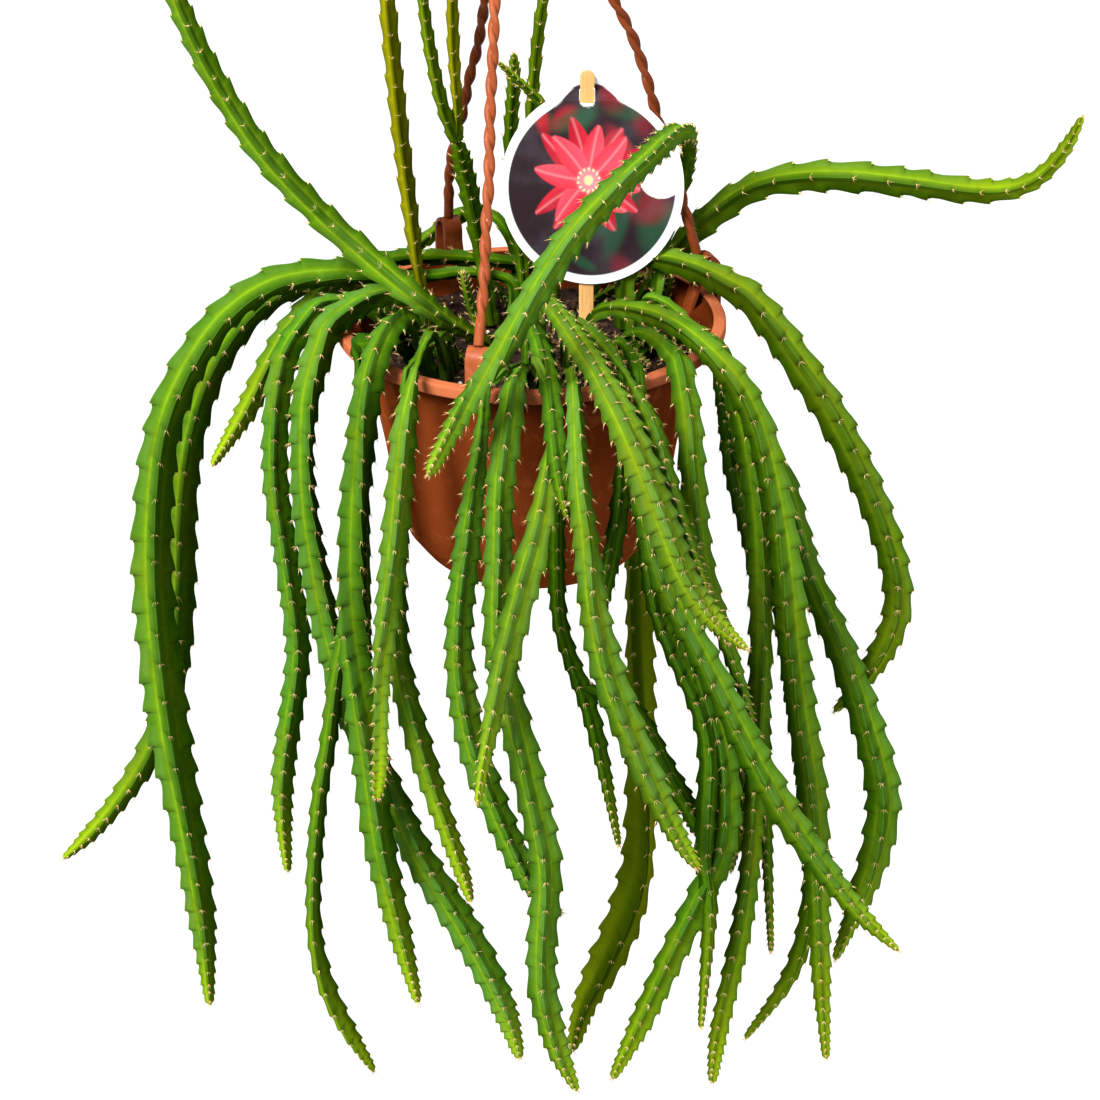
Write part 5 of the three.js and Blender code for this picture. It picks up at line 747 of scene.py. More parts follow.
class Skin:
    def __init__(self):
        self.V = []; self.F = []; self.t = []; self.l = []; self.n = 0
    def add_block(self, V, faces, tone, look):
        self.V.append(V)
        for f in faces:
            self.F.extend((f + self.n).tolist())
        self.t.append(tone); self.l.append(look); self.n += len(V)

class Deco:
    def __init__(self):
        self.V = []; self.F = []; self.m = []; self.n = 0
    def add_tris(self, V, F, mi):
        self.V.append(V); self.F.append(F + self.n); self.m.append(np.full(len(F), mi)); self.n += len(V)

for si, (node, runs) in enumerate(STEMS.items()):
    rng = np.random.default_rng(1000 + si)
    sk, dc = Skin(), Deco()
    for key, ribs, pts in runs:
        build_run(Run(key, ribs, pts, rng), sk, dc, LOOK[key])
    tones = np.vstack(sk.t)
    ob = new_obj(node + ".skin", np.vstack(sk.V), sk.F, M_SKIN, attrs={"tone": tones, "look": np.vstack(sk.l)}, replaces=node)
    # the edge of every rib is crisp
    ev = np.zeros(2 * len(ob.data.edges), int); ob.data.edges.foreach_get("vertices", ev); ev = ev.reshape(-1, 2)
    crisp = (tones[ev[:, 0], 0] == 0) & (tones[ev[:, 1], 0] == 0)
    ob.data.edges.foreach_set("use_edge_sharp", crisp)
    new_obj(node + ".spines", np.vstack(dc.V), np.vstack(dc.F), [M_AREOLE, M_SPINE], mat_index=np.concatenate(dc.m))

# ------------------------------------------------------------------ pot
def lathe(profile, seg, close=True):
    P = np.array(profile, float)
    n = len(P)
    a = np.linspace(0, 2 * math.pi, seg, endpoint=False)
    V = np.stack([np.outer(np.cos(a), P[:, 0]), np.outer(np.sin(a), P[:, 0]), np.broadcast_to(P[:, 1], (seg, n))], -1).reshape(-1, 3)
    F = []
    for i in range(seg):
        j = (i + 1) % seg
        for k in range(n - 1):
            F.append([i * n + k, j * n + k, j * n + k + 1, i * n + k + 1])
    return V, F

def round_profile(pts, radius):
    """corners of an open profile, rounded: radius is one number or one for each point"""
    out = [np.array(pts[0], float)]
    rr = radius if hasattr(radius, "__len__") else [radius] * len(pts)
    for i in range(1, len(pts) - 1):
        p, a, b = (np.array(q, float) for q in (pts[i], pts[i - 1], pts[i + 1]))
        u, v = a - p, b - p
        lu, lv = np.linalg.norm(u), np.linalg.norm(v)
        t = min(rr[i], lu * 0.45, lv * 0.45)
        if t < 0.05:
            out.append(p); continue
        p0, p1 = p + u / lu * t, p + v / lv * t
        for q in (0, 0.25, 0.5, 0.75, 1):
            out.append((1 - q) ** 2 * p0 + 2 * q * (1 - q) * p + q * q * p1)
    out.append(np.array(pts[-1], float))
    return out

def subdivide_profile(pts, step):
    out = [pts[0]]
    for a, b in zip(pts[:-1], pts[1:]):
        m = max(1, int(np.linalg.norm(np.array(b) - np.array(a)) / step))
        for k in range(1, m + 1):
            out.append(np.array(a) + (np.array(b) - np.array(a)) * k / m)
    return out

def terracotta(name, light, mid, deep, gloss, spec, rim=False):
    """satin brown-orange plastic with flow marks, dust and fine scratches"""
    m, nt, b = mat_new(name)
    co = objcoord(nt)
    big = noise_tex(nt, 14, 3, 0.5, co)
    mid_n = noise_tex(nt, 90, 5, 0.6, co, 0.6)
    sp = N(nt, "ShaderNodeMapping"); L(nt, co, sp.inputs[0]); sp.inputs["Scale"].default_value = (1, 1, 0.12)
    streak = noise_tex(nt, 240, 4, 0.65, sp.outputs[0])
    fine = noise_tex(nt, 1800, 3, 0.6, co)
    c = mix(nt, maprange(nt, big.outputs[0], 0.35, 0.68, 0, 1, True), mid, deep)
    c = mix(nt, maprange(nt, mid_n.outputs[0], 0.50, 0.75, 0, 0.55, True), c, light)
    c = mix(nt, maprange(nt, streak.outputs[0], 0.58, 0.74, 0, 0.30, True), c, light)
    if rim:                                                   # painted highlight: the top of the rim is paler than the wall
        sx = N(nt, "ShaderNodeSeparateXYZ"); L(nt, co, sx.inputs[0])
        dx_ = math_n(nt, "SUBTRACT", sx.outputs[0], PX * MM)
        rad_ = math_n(nt, "SQRT", math_n(nt, "ADD", math_n(nt, "MULTIPLY", dx_, dx_), math_n(nt, "MULTIPLY", sx.outputs[1], sx.outputs[1])))
        out_ = maprange(nt, rad_, 80.2 * MM, 80.8 * MM, 0.0, 1.0, True)
        top_ = maprange(nt, sx.outputs[2], (RIM_Z - 7.5) * MM, (RIM_Z - 4.5) * MM, 0.0, 0.55, True)
        c = mix(nt, math_n(nt, "MULTIPLY", out_, top_), c, lin(196, 112, 74))
        c = mix(nt, math_n(nt, "MULTIPLY", math_n(nt, "SUBTRACT", 1.0, out_), maprange(nt, sx.outputs[2], (RIM_Z - 16.0) * MM, (RIM_Z - 8.0) * MM, 0.0, 0.85, True)), c, lin(66, 24, 5))      # painted shade on the inside wall
    # dust and lime spots
    v = N(nt, "ShaderNodeTexVoronoi"); v.inputs["Scale"].default_value = 210; L(nt, co, v.inputs["Vector"])
    spot = math_n(nt, "MULTIPLY", maprange(nt, v.outputs["Distance"], 0.10, 0.16, 1, 0, True), maprange(nt, mid_n.outputs[0], 0.56, 0.62, 0, 0.35, True))
    c = mix(nt, spot, c, lin(226, 190, 168))
    L(nt, c, b.inputs["Base Color"])
    r = math_n(nt, "ADD", maprange(nt, mid_n.outputs[0], 0.3, 0.7, gloss[0], gloss[1]), math_n(nt, "MULTIPLY", spot, 0.4))
    L(nt, r, b.inputs["Roughness"])
    b.inputs["Specular IOR Level"].default_value = spec
    h = math_n(nt, "ADD", math_n(nt, "MULTIPLY", streak.outputs[0], 0.5), math_n(nt, "MULTIPLY", fine.outputs[0], 0.5))
    bump(nt, b, h, 0.10, 0.0004)
    return m

M_POT = terracotta("pot_plastic", lin(152, 80, 40), lin(124, 56, 22), lin(100, 42, 12), (0.42, 0.52), 0.0, True)
M_HANG = terracotta("hanger_plastic", lin(166, 94, 58), lin(140, 68, 35), lin(112, 50, 21), (0.36, 0.48), 0.12)
# painted shade: the right and back strands are darker copies of the same plastic
M_HANG_R = terracotta("hanger_plastic_right_painted_shade", lin(142, 76, 42), lin(114, 52, 22), lin(92, 38, 12), (0.36, 0.48), 0.10)
M_HANG_B = terracotta("hanger_plastic_back_painted_shade", lin(126, 64, 32), lin(98, 44, 16), lin(78, 32, 9), (0.36, 0.48), 0.08)
ARM_MAT = {"front": M_HANG, "right": M_HANG_R, "back_left": M_HANG_B}

pot_pts = [(0.01, -113), (30, -113), (31, -112.2), (40, -112.2), (41, -113), (43, -113), (47, -110.5), (51.6, -104.9), (54.5, -101),
           (55.3, -99.6), (55.9, -99.4), (59.5, -88), (63.2, -72), (65.2, -58), (70, -34), (75.5, -10), (77, -6.4),
           (78.4, -5.7), (85.0, -5.5), (86, -4.9), (86, -0.7), (85.3, 0), (80.9, 0), (80.2, -0.5), (79.9, -3.4), (75.6, -5.6), (73.4, -10),
           (67.9, -34), (63.1, -58), (61.1, -72), (57.5, -87.5), (52.8, -99.6), (45.5, -108.2), (41.5, -110.5), (0.01, -110.5)]
rad = [0, .4, .4, .4, .4, .8, 3, 3, 1, .3, .3, 4, 4, 6, 6, 4, .8, .6, .5, .5, .6, .6, .6, .5, 1, 1, 2, 6, 6, 6, 4, 4, 3, 2, 0]
prof = subdivide_profile(round_profile(pot_pts, rad), 8.0)
V, F = lathe(prof, 144)
rr = np.hypot(V[:, 0], V[:, 1]); th = np.arctan2(V[:, 1], V[:, 0])
# shallow stiffening ribs moulded on the inner wall, under the rim
npf = len(prof)
ring_id = np.tile(np.arange(npf), 144)
k_in = next(i for i, p in enumerate(prof) if p[1] > -1.2 and p[0] < 80.5)
inner = ring_id >= k_in
ribs_in = np.clip(np.cos(th * 24) * 2.2 - 1.2, 0, 1) * np.clip((-V[:, 2] - 3.5) / 3.0, 0, 1) * (V[:, 2] > -60)
shr = np.where(inner, ribs_in * 0.7, 0.0)
V[:, 0] -= np.cos(th) * shr; V[:, 1] -= np.sin(th) * shr
V += np.array([PX, 0, RIM_Z])
me_pot = new_obj("pot.shell", V, F, M_POT, replaces="pot")
# drain holes: open the floor with four round cuts
def cut_holes(ob, centres, r, z0, z1, seg=40):
    bm = bmesh.new()
    for (x, y) in centres:
        a = [2 * math.pi * k / seg for k in range(seg)]
        lo = [bm.verts.new(((x + r * math.cos(t)) * MM, (y + r * math.sin(t)) * MM, z0 * MM)) for t in a]
        hi = [bm.verts.new(((x + r * math.cos(t)) * MM, (y + r * math.sin(t)) * MM, z1 * MM)) for t in a]
        bm.faces.new(lo[::-1]); bm.faces.new(hi)
        for k in range(seg):
            bm.faces.new((lo[k], lo[(k + 1) % seg], hi[(k + 1) % seg], hi[k]))
    me = bpy.data.meshes.new("cutter"); bm.to_mesh(me); bm.free()
    cu = bpy.data.objects.new("cutter", me); bpy.context.scene.collection.objects.link(cu)
    md = ob.modifiers.new("holes", "BOOLEAN"); md.operation = "DIFFERENCE"; md.solver = "EXACT"; md.object = cu
    dg = bpy.context.evaluated_depsgraph_get()
    new = bpy.data.meshes.new_from_object(ob.evaluated_get(dg))
    ob.modifiers.remove(md)
    old = ob.data; ob.data = new; bpy.data.meshes.remove(old)
    bpy.data.objects.remove(cu, do_unlink=True)

def weld(ob, dist=0.00002):
    bm = bmesh.new(); bm.from_mesh(ob.data)
    bmesh.ops.remove_doubles(bm, verts=bm.verts, dist=dist)
    bmesh.ops.recalc_face_normals(bm, faces=bm.faces)
    bm.to_mesh(ob.data); bm.free()

weld(me_pot)
cut_holes(me_pot, [(PX + 28 * math.cos(k * math.pi / 2 + 0.6), 28 * math.sin(k * math.pi / 2 + 0.6)) for k in range(4)], 4.0, RIM_Z - 120, RIM_Z - 105)
me_pot.data.polygons.foreach_set("use_smooth", [True] * len(me_pot.data.polygons))
sharpen(me_pot, 40)

# ------------------------------------------------------------------ soil
def soil_material():
    m, nt, b = mat_new("peat")
    co = objcoord(nt)
    n1 = noise_tex(nt, 160, 6, 0.7, co)
    n2 = noise_tex(nt, 900, 5, 0.7, co)
    v = N(nt, "ShaderNodeTexVoronoi"); v.inputs["Scale"].default_value = 520; L(nt, co, v.inputs["Vector"])
    c = mix(nt, maprange(nt, n1.outputs[0], 0.35, 0.65, 0, 1, True), lin(20, 12, 8), lin(46, 30, 20))
    c = mix(nt, maprange(nt, n2.outputs[0], 0.55, 0.75, 0, 0.8, True), c, lin(82, 56, 38))
    c = mix(nt, maprange(nt, v.outputs["Distance"], 0.0, 0.35, 0.7, 0.0), c, lin(16, 9, 6))
    L(nt, c, b.inputs["Base Color"])
    b.inputs["Roughness"].default_value = 0.95
    b.inputs["Specular IOR Level"].default_value = 0.15
    bump(nt, b, math_n(nt, "ADD", n2.outputs[0], v.outputs["Distance"]), 0.7, 0.0012)
    return m
M_SOIL = soil_material()
M_CRUMB = simple_material("peat_crumb", lin(30, 19, 12), lin(70, 45, 29), 260, (0.85, 0.98), 0.6, 0.0004, spec=0.15, c3=lin(26, 15, 10))
M_GRIT = simple_material("grit", lin(206, 176, 154), lin(236, 226, 214), 300, (0.55, 0.75), 0.4, 0.0003, spec=0.3, c3=lin(196, 128, 112))
M_FIBRE = simple_material("fibre", lin(132, 92, 54), lin(186, 142, 92), 300, (0.7, 0.9), 0.3, 0.0002, spec=0.2)

def vnoise(x, y, z=0.0, s=1.0):
    return mnoise.noise(Vector((x * s, y * s, z)))

rng = np.random.default_rng(77)
rings, segs = 46, 150
rs = np.linspace(0, 71.7, rings + 1)[1:]
V = [(0, 0, 0)]; F = []
for r in rs:
    for k in range(segs):
        a = 2 * math.pi * k / segs
        V.append((r * math.cos(a), r * math.sin(a), 0))
V = np.array(V, float)
for i, (x, y, _) in enumerate(V):
    r = math.hypot(x, y)
    V[i, 2] = 1.5 * vnoise(x, y, 3.1, 0.045) + 1.1 * vnoise(x, y, 9.0, 0.17) + 0.6 * vnoise(x, y, 1.0, 0.5) + 0.8 * max(0, (r - 58) / 14) - 0.4
for k in range(segs):
    F.append([0, 1 + k, 1 + (k + 1) % segs])
for i in range(rings - 1):
    for k in range(segs):
        a, b_ = 1 + i * segs + k, 1 + i * segs + (k + 1) % segs
        F.append([a, a + segs, b_ + segs, b_])
def soil_height(x, y):
    r = math.hypot(x, y)
    return 1.5 * vnoise(x, y, 3.1, 0.045) + 1.1 * vnoise(x, y, 9.0, 0.17) + 0.6 * vnoise(x, y, 1.0, 0.5) + 0.8 * max(0, (r - 58) / 14) - 0.4
# the sides and the underside fill the pot, as the ball of soil does
nv = len(V)
low = [(70.0, -24), (67.3, -34), (62.5, -58), (60.5, -72), (57.0, -87.3), (52.3, -99.3), (45, -107.8), (41, -110.2)]
extra = []
for r, z in low:
    for k in range(segs):
        a = 2 * math.pi * k / segs
        q = 1 - 0.008 * (1 + math.sin(a * 23 + z))
        extra.append((r * q * math.cos(a), r * q * math.sin(a), z + 15))
extra.append((0, 0, -110.2 + 15))
V = np.vstack([V, extra])
prev = 1 + (rings - 1) * segs
for i in range(len(low)):
    cur = nv + i * segs
    for k in range(segs):
        k2 = (k + 1) % segs
        F.append([prev + k, cur + k, cur + k2, prev + k2])
    prev = cur
for k in range(segs):
    F.append([prev + k, len(V) - 1, prev + (k + 1) % segs])
V += np.array([PX, 0, SOIL])
new_obj("soil.bed", V, F, M_SOIL, replaces="soil")

ICO_V, ICO_F = [], []
_bm = bmesh.new(); bmesh.ops.create_icosphere(_bm, subdivisions=1, radius=1.0)
ICO_V = np.array([v.co[:] for v in _bm.verts]); ICO_F = np.array([[v.index for v in f.verts] for f in _bm.faces]); _bm.free()
gr = Deco()
def grain(x, y, r, kind, flat=0.7, squash=None):
    z = soil_height(x, y)
    V = ICO_V * (1 + rng.uniform(-0.28, 0.28, ICO_V.shape))
    A = rng.normal(size=(3, 3)); Qm, _ = np.linalg.qr(A)
    if squash is not None:
        V = V * np.array(squash)
    V = V @ Qm.T
    V[:, 2] *= flat
    gr.add_tris(V * r + np.array([PX + x, y, SOIL + z + r * 0.25]), ICO_F, kind)
for i in range(1100):
    r = 71.2 * math.sqrt(rng.uniform()); a = rng.uniform(0, 2 * math.pi)
    q = rng.uniform()
    if q < 0.80:
        grain(r * math.cos(a), r * math.sin(a), rng.uniform(0.7, 2.2), 0, 0.75)
    elif q < 0.91:
        grain(r * math.cos(a), r * math.sin(a), rng.uniform(0.45, 1.15), 1, 0.9)
    else:
        grain(r * math.cos(a), r * math.sin(a), rng.uniform(0.5, 1.0), 2, 0.7, (3.6, 0.5, 0.4))
new_obj("soil.crumbs", np.vstack(gr.V), np.vstack(gr.F), [M_CRUMB, M_GRIT, M_FIBRE], mat_index=np.concatenate(gr.m), smooth=False)

# ------------------------------------------------------------------ hanger
ARMS = {
    "front": [(-16, -80, -269.4), (-13.5, -70.4, -243.3), (-12.7, -63.3, -223.3), (-11.4, -56.1, -203.4), (-10.9, -47.2, -178.4), (-9.6, -38.4, -153.6), (-8.8, -31.3, -133.9), (-6.6, -20.9, -105), (-1.1, -4.5, -60.7)],
    "back_left": [(-32.3, 73.7, -269.4), (-31.5, 67.1, -248.6), (-30, 62.4, -234.5), (-24.5, 54.7, -211.5), (-21.3, 48.8, -193.7), (-17.5, 43.6, -178.2), (-14.1, 35.8, -154.9), (-8.5, 23.4, -117.9), (-2.1, 4.1, -60.7)],
    "right": [(79.6, 26.2, -269.4), (70.6, 25.7, -235.9), (60.7, 23.3, -203), (55.7, 20.6, -184.2), (48.9, 16.5, -163.5), (41.4, 13, -147.7), (25.9, 7.9, -113.4), (4.3, 1.5, -60.7)],
}
CLIP_AZ = {"front": -105.2, "back_left": 117.3, "right": 19.0}

def twisted(pts, R, turn_mm, start_smooth, end_smooth, phase, sides=24, step=0.8):
    """one moulded strand made to look like two twisted cords"""
    P = np.array([tuple(p) + (R,) for p in pts], float)
    Q, _, s, _ = dense_path(P, 0.4)
    L = s[-1]
    n = int(L / step) + 1
    g = np.linspace(0, L, n)
    Q = smooth1(np.stack([np.interp(g, s, Q[:, i]) for i in range(3)], 1), 6)
    T = unit(np.gradient(Q, axis=0))
    Nn = np.zeros_like(T)
    v = np.array([1.0, 0, 0]); v = v - T[0] * v.dot(T[0]); Nn[0] = v / np.linalg.norm(v)
    for i in range(1, n):
        w = Nn[i - 1] - T[i] * Nn[i - 1].dot(T[i]); Nn[i] = w / np.linalg.norm(w)
    B = np.cross(T, Nn)
    amt = np.clip((g - start_smooth) / 5.0, 0, 1) * np.clip((L - end_smooth - g) / 5.0, 0, 1)
    a = np.linspace(0, 2 * math.pi, sides, endpoint=False)
    V = []
    for i in range(n):
        tw = phase - 2 * math.pi * g[i] / turn_mm
        d = (a - tw + math.pi / 2) % math.pi - math.pi / 2        # angle from the nearer groove
        # two round cords side by side: each is a circle of radius rc, their middles e off the centre line
        e, rc = 0.93 * amt[i], R + (1.62 - R) * amt[i]
        q = np.abs(np.sin(d))                                     # 1 towards a cord's middle, 0 in the groove
        both = e * q + np.sqrt(np.maximum(rc * rc - (e * np.cos(d)) ** 2, 0.01))
        # the groove is cut deeper on one side, where one cord laps over the other
        cut = 0.42 * np.exp(-(d / 0.16) ** 2) + 0.20 * np.exp(-((d - 0.22) / 0.26) ** 2)
        r = both - amt[i] * cut
        c, sn = np.cos(a), np.sin(a)
        V.append(Q[i] + Nn[i] * (r * c)[:, None] + B[i] * (r * sn)[:, None])
    V = np.array(V).reshape(-1, 3)
    F = []
    for i in range(n - 1):
        for k in range(sides):
            k2 = (k + 1) % sides
            F.append([i * sides + k, i * sides + k2, (i + 1) * sides + k2, (i + 1) * sides + k])
    V = np.vstack([V, Q[:1], Q[-1:]])
    e0, e1 = n * sides, n * sides + 1
    for k in range(sides):
        k2 = (k + 1) % sides
        F.append([e0, k2, k]); F.append([e1, (n - 1) * sides + k, (n - 1) * sides + k2])
    return V, F

def clip_profile():
    """section of the saddle that straddles the rim, in the plane of radius and height, mm from the clip's middle"""
    M_ = 82.9
    ro, ri, t, top = 88.2 - M_, 77.6 - M_, 1.7, 19.0
    outer = []
    k = 6.4
    # outer face from the outside tooth up, over the crown and down inside
    outer += [(ro - t - 1.8, -7.9), (ro - 0.4, -7.9), (ro, -7.4)]
    outer += [(ro, z) for z in np.linspace(-5, top - k, 8)]
    for a in np.linspace(0, 90, 10)[1:]:
        outer.append((ro - k * 0.92 + k * 0.92 * math.cos(math.radians(a)), top - k + k * math.sin(math.radians(a))))
    for a in np.linspace(90, 180, 10):
        outer.append((ri + k * 0.92 - k * 0.92 * -math.cos(math.radians(a)), top - k + k * math.sin(math.radians(a))))
    outer += [(ri, z) for z in np.linspace(top - k, 8, 4)[1:]]
    outer += [(75.4 - M_, 0.6), (73.7 - M_, -5.2), (72.0 - M_, -10.0), (70.9 - M_, -14.8)]
    inner = [(72.2 - M_, -14.8), (73.3 - M_, -10.1), (75.2 - M_, -5.4), (77.2 - M_, 0.4)]
    inner += [(ri + t, z) for z in np.linspace(8, top - k, 4)]
    for a in np.linspace(180, 0, 18)[1:-1]:
        inner.append(((ri + ro) / 2 + (ro - t - (ri + ro) / 2) * math.cos(math.radians(a)), top - k + (k - t) * math.sin(math.radians(a))))
    inner += [(ro - t, z) for z in np.linspace(top - k, -6.1, 8)]
    inner += [(ro - t - 2.4, -6.3)]
    return outer + inner

def bevel_mesh(ob, width, seg=3, angle=40):
    md = ob.modifiers.new("bevel", "BEVEL"); md.width = width * MM; md.segments = seg; md.limit_method = "ANGLE"; md.angle_limit = math.radians(angle); md.harden_normals = False
    dg = bpy.context.evaluated_depsgraph_get()
    new = bpy.data.meshes.new_from_object(ob.evaluated_get(dg)); ob.modifiers.remove(md)
    old = ob.data; ob.data = new; bpy.data.meshes.remove(old)
    ob.data.polygons.foreach_set("use_smooth", [True] * len(ob.data.polygons))

PHASE = {"front": 0.9, "back_left": 2.2, "right": 0.4}
for arm, pts in ARMS.items():
    V, F = twisted(pts, 2.2, 22.4, 9.0, 6.0, PHASE[arm])
    strand = new_obj("hanger_arm_" + arm + ".strand", V, F, ARM_MAT[arm], replaces="hanger_arm_" + arm)
    pr = clip_profile()
    n = len(pr); w = 8.8
    az = math.radians(CLIP_AZ[arm])
    er, et = np.array([math.cos(az), math.sin(az), 0]), np.array([-math.sin(az), math.cos(az), 0])
    rows = [-w / 2, w / 2]
    V = []
    for q in rows:
        for (x, z) in pr:
            V.append(np.array([PX, 0, RIM_Z]) + er * (82.9 + x) + et * q + np.array([0, 0, z]))
    F = [list(range(n))[::-1], list(range(n, 2 * n))]
    for k in range(n):
        k2 = (k + 1) % n
        F.append([k, k2, n + k2, n + k])
    cl = new_obj("hanger_arm_" + arm + ".clip", V, F, ARM_MAT[arm])
    weld(cl)
    bevel_mesh(cl, 0.55, 3, 38)
    sharpen(cl, 50)

# hub, shank and hook
hub_prof = [(0.01, -59.2), (6.6, -59.2), (7.5, -58.6), (7.6, -57.4), (6.9, -56.2), (5.2, -53.8), (4.5, -51.6), (3.8, -49.4), (2.6, -48.0), (0.01, -47.6)]
V1, F1 = lathe(subdivide_profile(round_profile(hub_prof, 0.8), 1.2), 64)
boss = [(0.01, -67.2), (3.2, -67.0), (5.2, -65.2), (6.4, -62.2), (6.7, -59.0), (0.01, -58.8)]
V2, F2 = lathe(subdivide_profile(round_profile(boss, 1.0), 1.2), 64)
HOOK_R, HOOK_W = 13.4, 2.4
cz = -HOOK_R + HOOK_W
hp = [(0, 0, -51.8), (0, 0, -44), (0, 0, -39.8), (0, 0, -38), (-3, 0, -30), (-9.5, 0, cz - 9.6)]
d = 205
while d >= -25:
    hp.append((HOOK_R * math.cos(math.radians(d)), 0, cz + HOOK_R * math.sin(math.radians(d)))); d -= 23
Q, _, s, _ = dense_path(np.array([p + (HOOK_W,) for p in hp], float), 0.4)
g = np.linspace(0, s[-1], int(s[-1] / 1.1)); Q = smooth1(np.stack([np.interp(g, s, Q[:, i]) for i in range(3)], 1), 2)
T = unit(np.gradient(Q, axis=0)); sides = 24
V3 = []
for i in range(len(Q)):
    nrm = np.array([0, 1.0, 0]); b3 = np.cross(T[i], nrm)
    end = min(1.0, (g[-1] - g[i]) / 2.2)
    r = HOOK_W * math.sqrt(max(0.02, 1 - (1 - end) ** 2))
    for k in range(sides):
        a = 2 * math.pi * k / sides
        # a moulding seam along both sides of the rod
        rr_ = r * (1 + 0.035 * math.exp(-((math.sin(a)) / 0.10) ** 2))
        V3.append(Q[i] + nrm * math.cos(a) * rr_ + b3 * math.sin(a) * rr_)
F3 = []
for i in range(len(Q) - 1):
    for k in range(sides):
        k2 = (k + 1) % sides
        F3.append([i * sides + k, i * sides + k2, (i + 1) * sides + k2, (i + 1) * sides + k])
V3 += [Q[0], Q[-1]]
for k in range(sides):
    k2 = (k + 1) % sides
    F3.append([len(V3) - 2, k2, k]); F3.append([len(V3) - 1, (len(Q) - 1) * sides + k, (len(Q) - 1) * sides + k2])
mm = Mesh(); mm.add(V1, F1); mm.add(V2, F2); mm.add(np.array(V3), F3)
hk = new_obj("hanger_hook.rod", mm.verts(), mm.f, M_HANG, replaces="hanger_hook")
weld(hk); sharpen(hk, 42)

# ------------------------------------------------------------------ label plate
PC = (32.53, 20.0, -235.2); PR = 40.4; OVAL = 1.125
EC = (31.2, -201.2); ER = 16.2
ZS = -193.4
SLOT_C = (30.2, ZS); SLOT_W, SLOT_H = 6.9, 6.2

def sd_round_box(x, z, cx, cz_, w, h, r):
    qx = np.abs(x - cx) - w / 2 + r; qz = np.abs(z - cz_) - h / 2 + r
    return np.hypot(np.maximum(qx, 0), np.maximum(qz, 0)) + np.minimum(np.maximum(qx, qz), 0) - r

def sd_outline(x, z):
    d1 = np.hypot(x - PC[0], (z - PC[2]) / OVAL) - PR
    d2 = np.hypot(x - EC[0], z - EC[1]) - ER
    k = 4.0
    h = np.clip(0.5 + 0.5 * (d2 - d1) / k, 0, 1)
    return d2 * (1 - h) + d1 * h - k * h * (1 - h)

# star-shaped outline seen from the disc's middle
NA, NRAD = 372, 58
ang = np.linspace(0, 2 * math.pi, NA, endpoint=False)
Rout = np.full(NA, PR)
for i, a in enumerate(ang):
    lo_, hi_ = 20.0, 70.0
    for _ in range(40):
        m_ = (lo_ + hi_) / 2
        if sd_outline(PC[0] + m_ * math.cos(a), PC[2] + m_ * math.sin(a)) < 0:
            lo_ = m_
        else:
            hi_ = m_
    Rout[i] = (lo_ + hi_) / 2
fr = np.linspace(0, 1, NRAD + 1)[1:] ** 0.92
X = np.concatenate([[PC[0]], (PC[0] + np.outer(fr, Rout * np.cos(ang))).ravel()])
Z = np.concatenate([[PC[2]], (PC[2] + np.outer(fr, Rout * np.sin(ang))).ravel()])
F = [[0, 1 + k, 1 + (k + 1) % NA] for k in range(NA)]
for i in range(NRAD - 1):
    for k in range(NA):
        a, b_ = 1 + i * NA + k, 1 + i * NA + (k + 1) % NA
        F.append([a, a + NA, b_ + NA, b_])
sd = sd_round_box(X, Z, SLOT_C[0], SLOT_C[1], SLOT_W, SLOT_H, 1.0)
near = np.abs(sd) < 0.42
gx = (sd_round_box(X + .01, Z, *SLOT_C, SLOT_W, SLOT_H, 1.0) - sd) / .01
gz = (sd_round_box(X, Z + .01, *SLOT_C, SLOT_W, SLOT_H, 1.0) - sd) / .01
X = np.where(near, X - gx * sd, X); Z = np.where(near, Z - gz * sd, Z)
sd = np.where(near, 0.0, sd)
keep = [f for f in F if not max(sd[f]) <= 1e-6]
used = sorted({i for f in keep for i in f}); remap = {o: n for n, o in enumerate(used)}
F = [[remap[i] for i in f] for f in keep]; X, Z = X[used], Z[used]
def bend_y(x, z):
    u = np.clip((z - (ZS - 2.4)) / 4.8, 0, 1); u = u * u * (3 - 2 * u)
    return PC[1] + 4.4 * u
Y = bend_y(X, Z)

# the print: a plain stylised flower, dark leaves behind it
def ss(e0, e1, v):
    t = np.clip((v - e0) / (e1 - e0), 0, 1); return t * t * (3 - 2 * t)
def c3(r, g_, b_):
    return np.array(lin(r, g_, b_)[:3])
def over(col, mask, c):
    return col * (1 - mask[:, None]) + (c if c.ndim == 2 else c[None, :]) * mask[:, None]
lx, lz = X - PC[0], (Z - PC[2]) / OVAL
sdo = sd_outline(X, Z)
col = np.tile(c3(40, 28, 33), (len(X), 1))
lr = np.random.default_rng(5)
for i in range(26):                                     # soft dark-green and wine-red patches
    cx, cz2, w_, h_, a_ = lr.uniform(-36, 36), lr.uniform(-36, 44), lr.uniform(3, 9), lr.uniform(7, 17), lr.uniform(0, 3.14)
    u = (lx - cx) * math.cos(a_) + (lz - cz2) * math.sin(a_); v = -(lx - cx) * math.sin(a_) + (lz - cz2) * math.cos(a_)
    dd = np.sqrt((u / w_) ** 2 + (v / h_) ** 2)
    cc = c3(34, 74, 50) if i % 3 else c3(112, 22, 34)
    if cz2 > 14 and i % 2:
        cc = c3(176, 22, 40)
    col = over(col, (1 - ss(0.35, 1.1, dd)) * 0.72, cc)
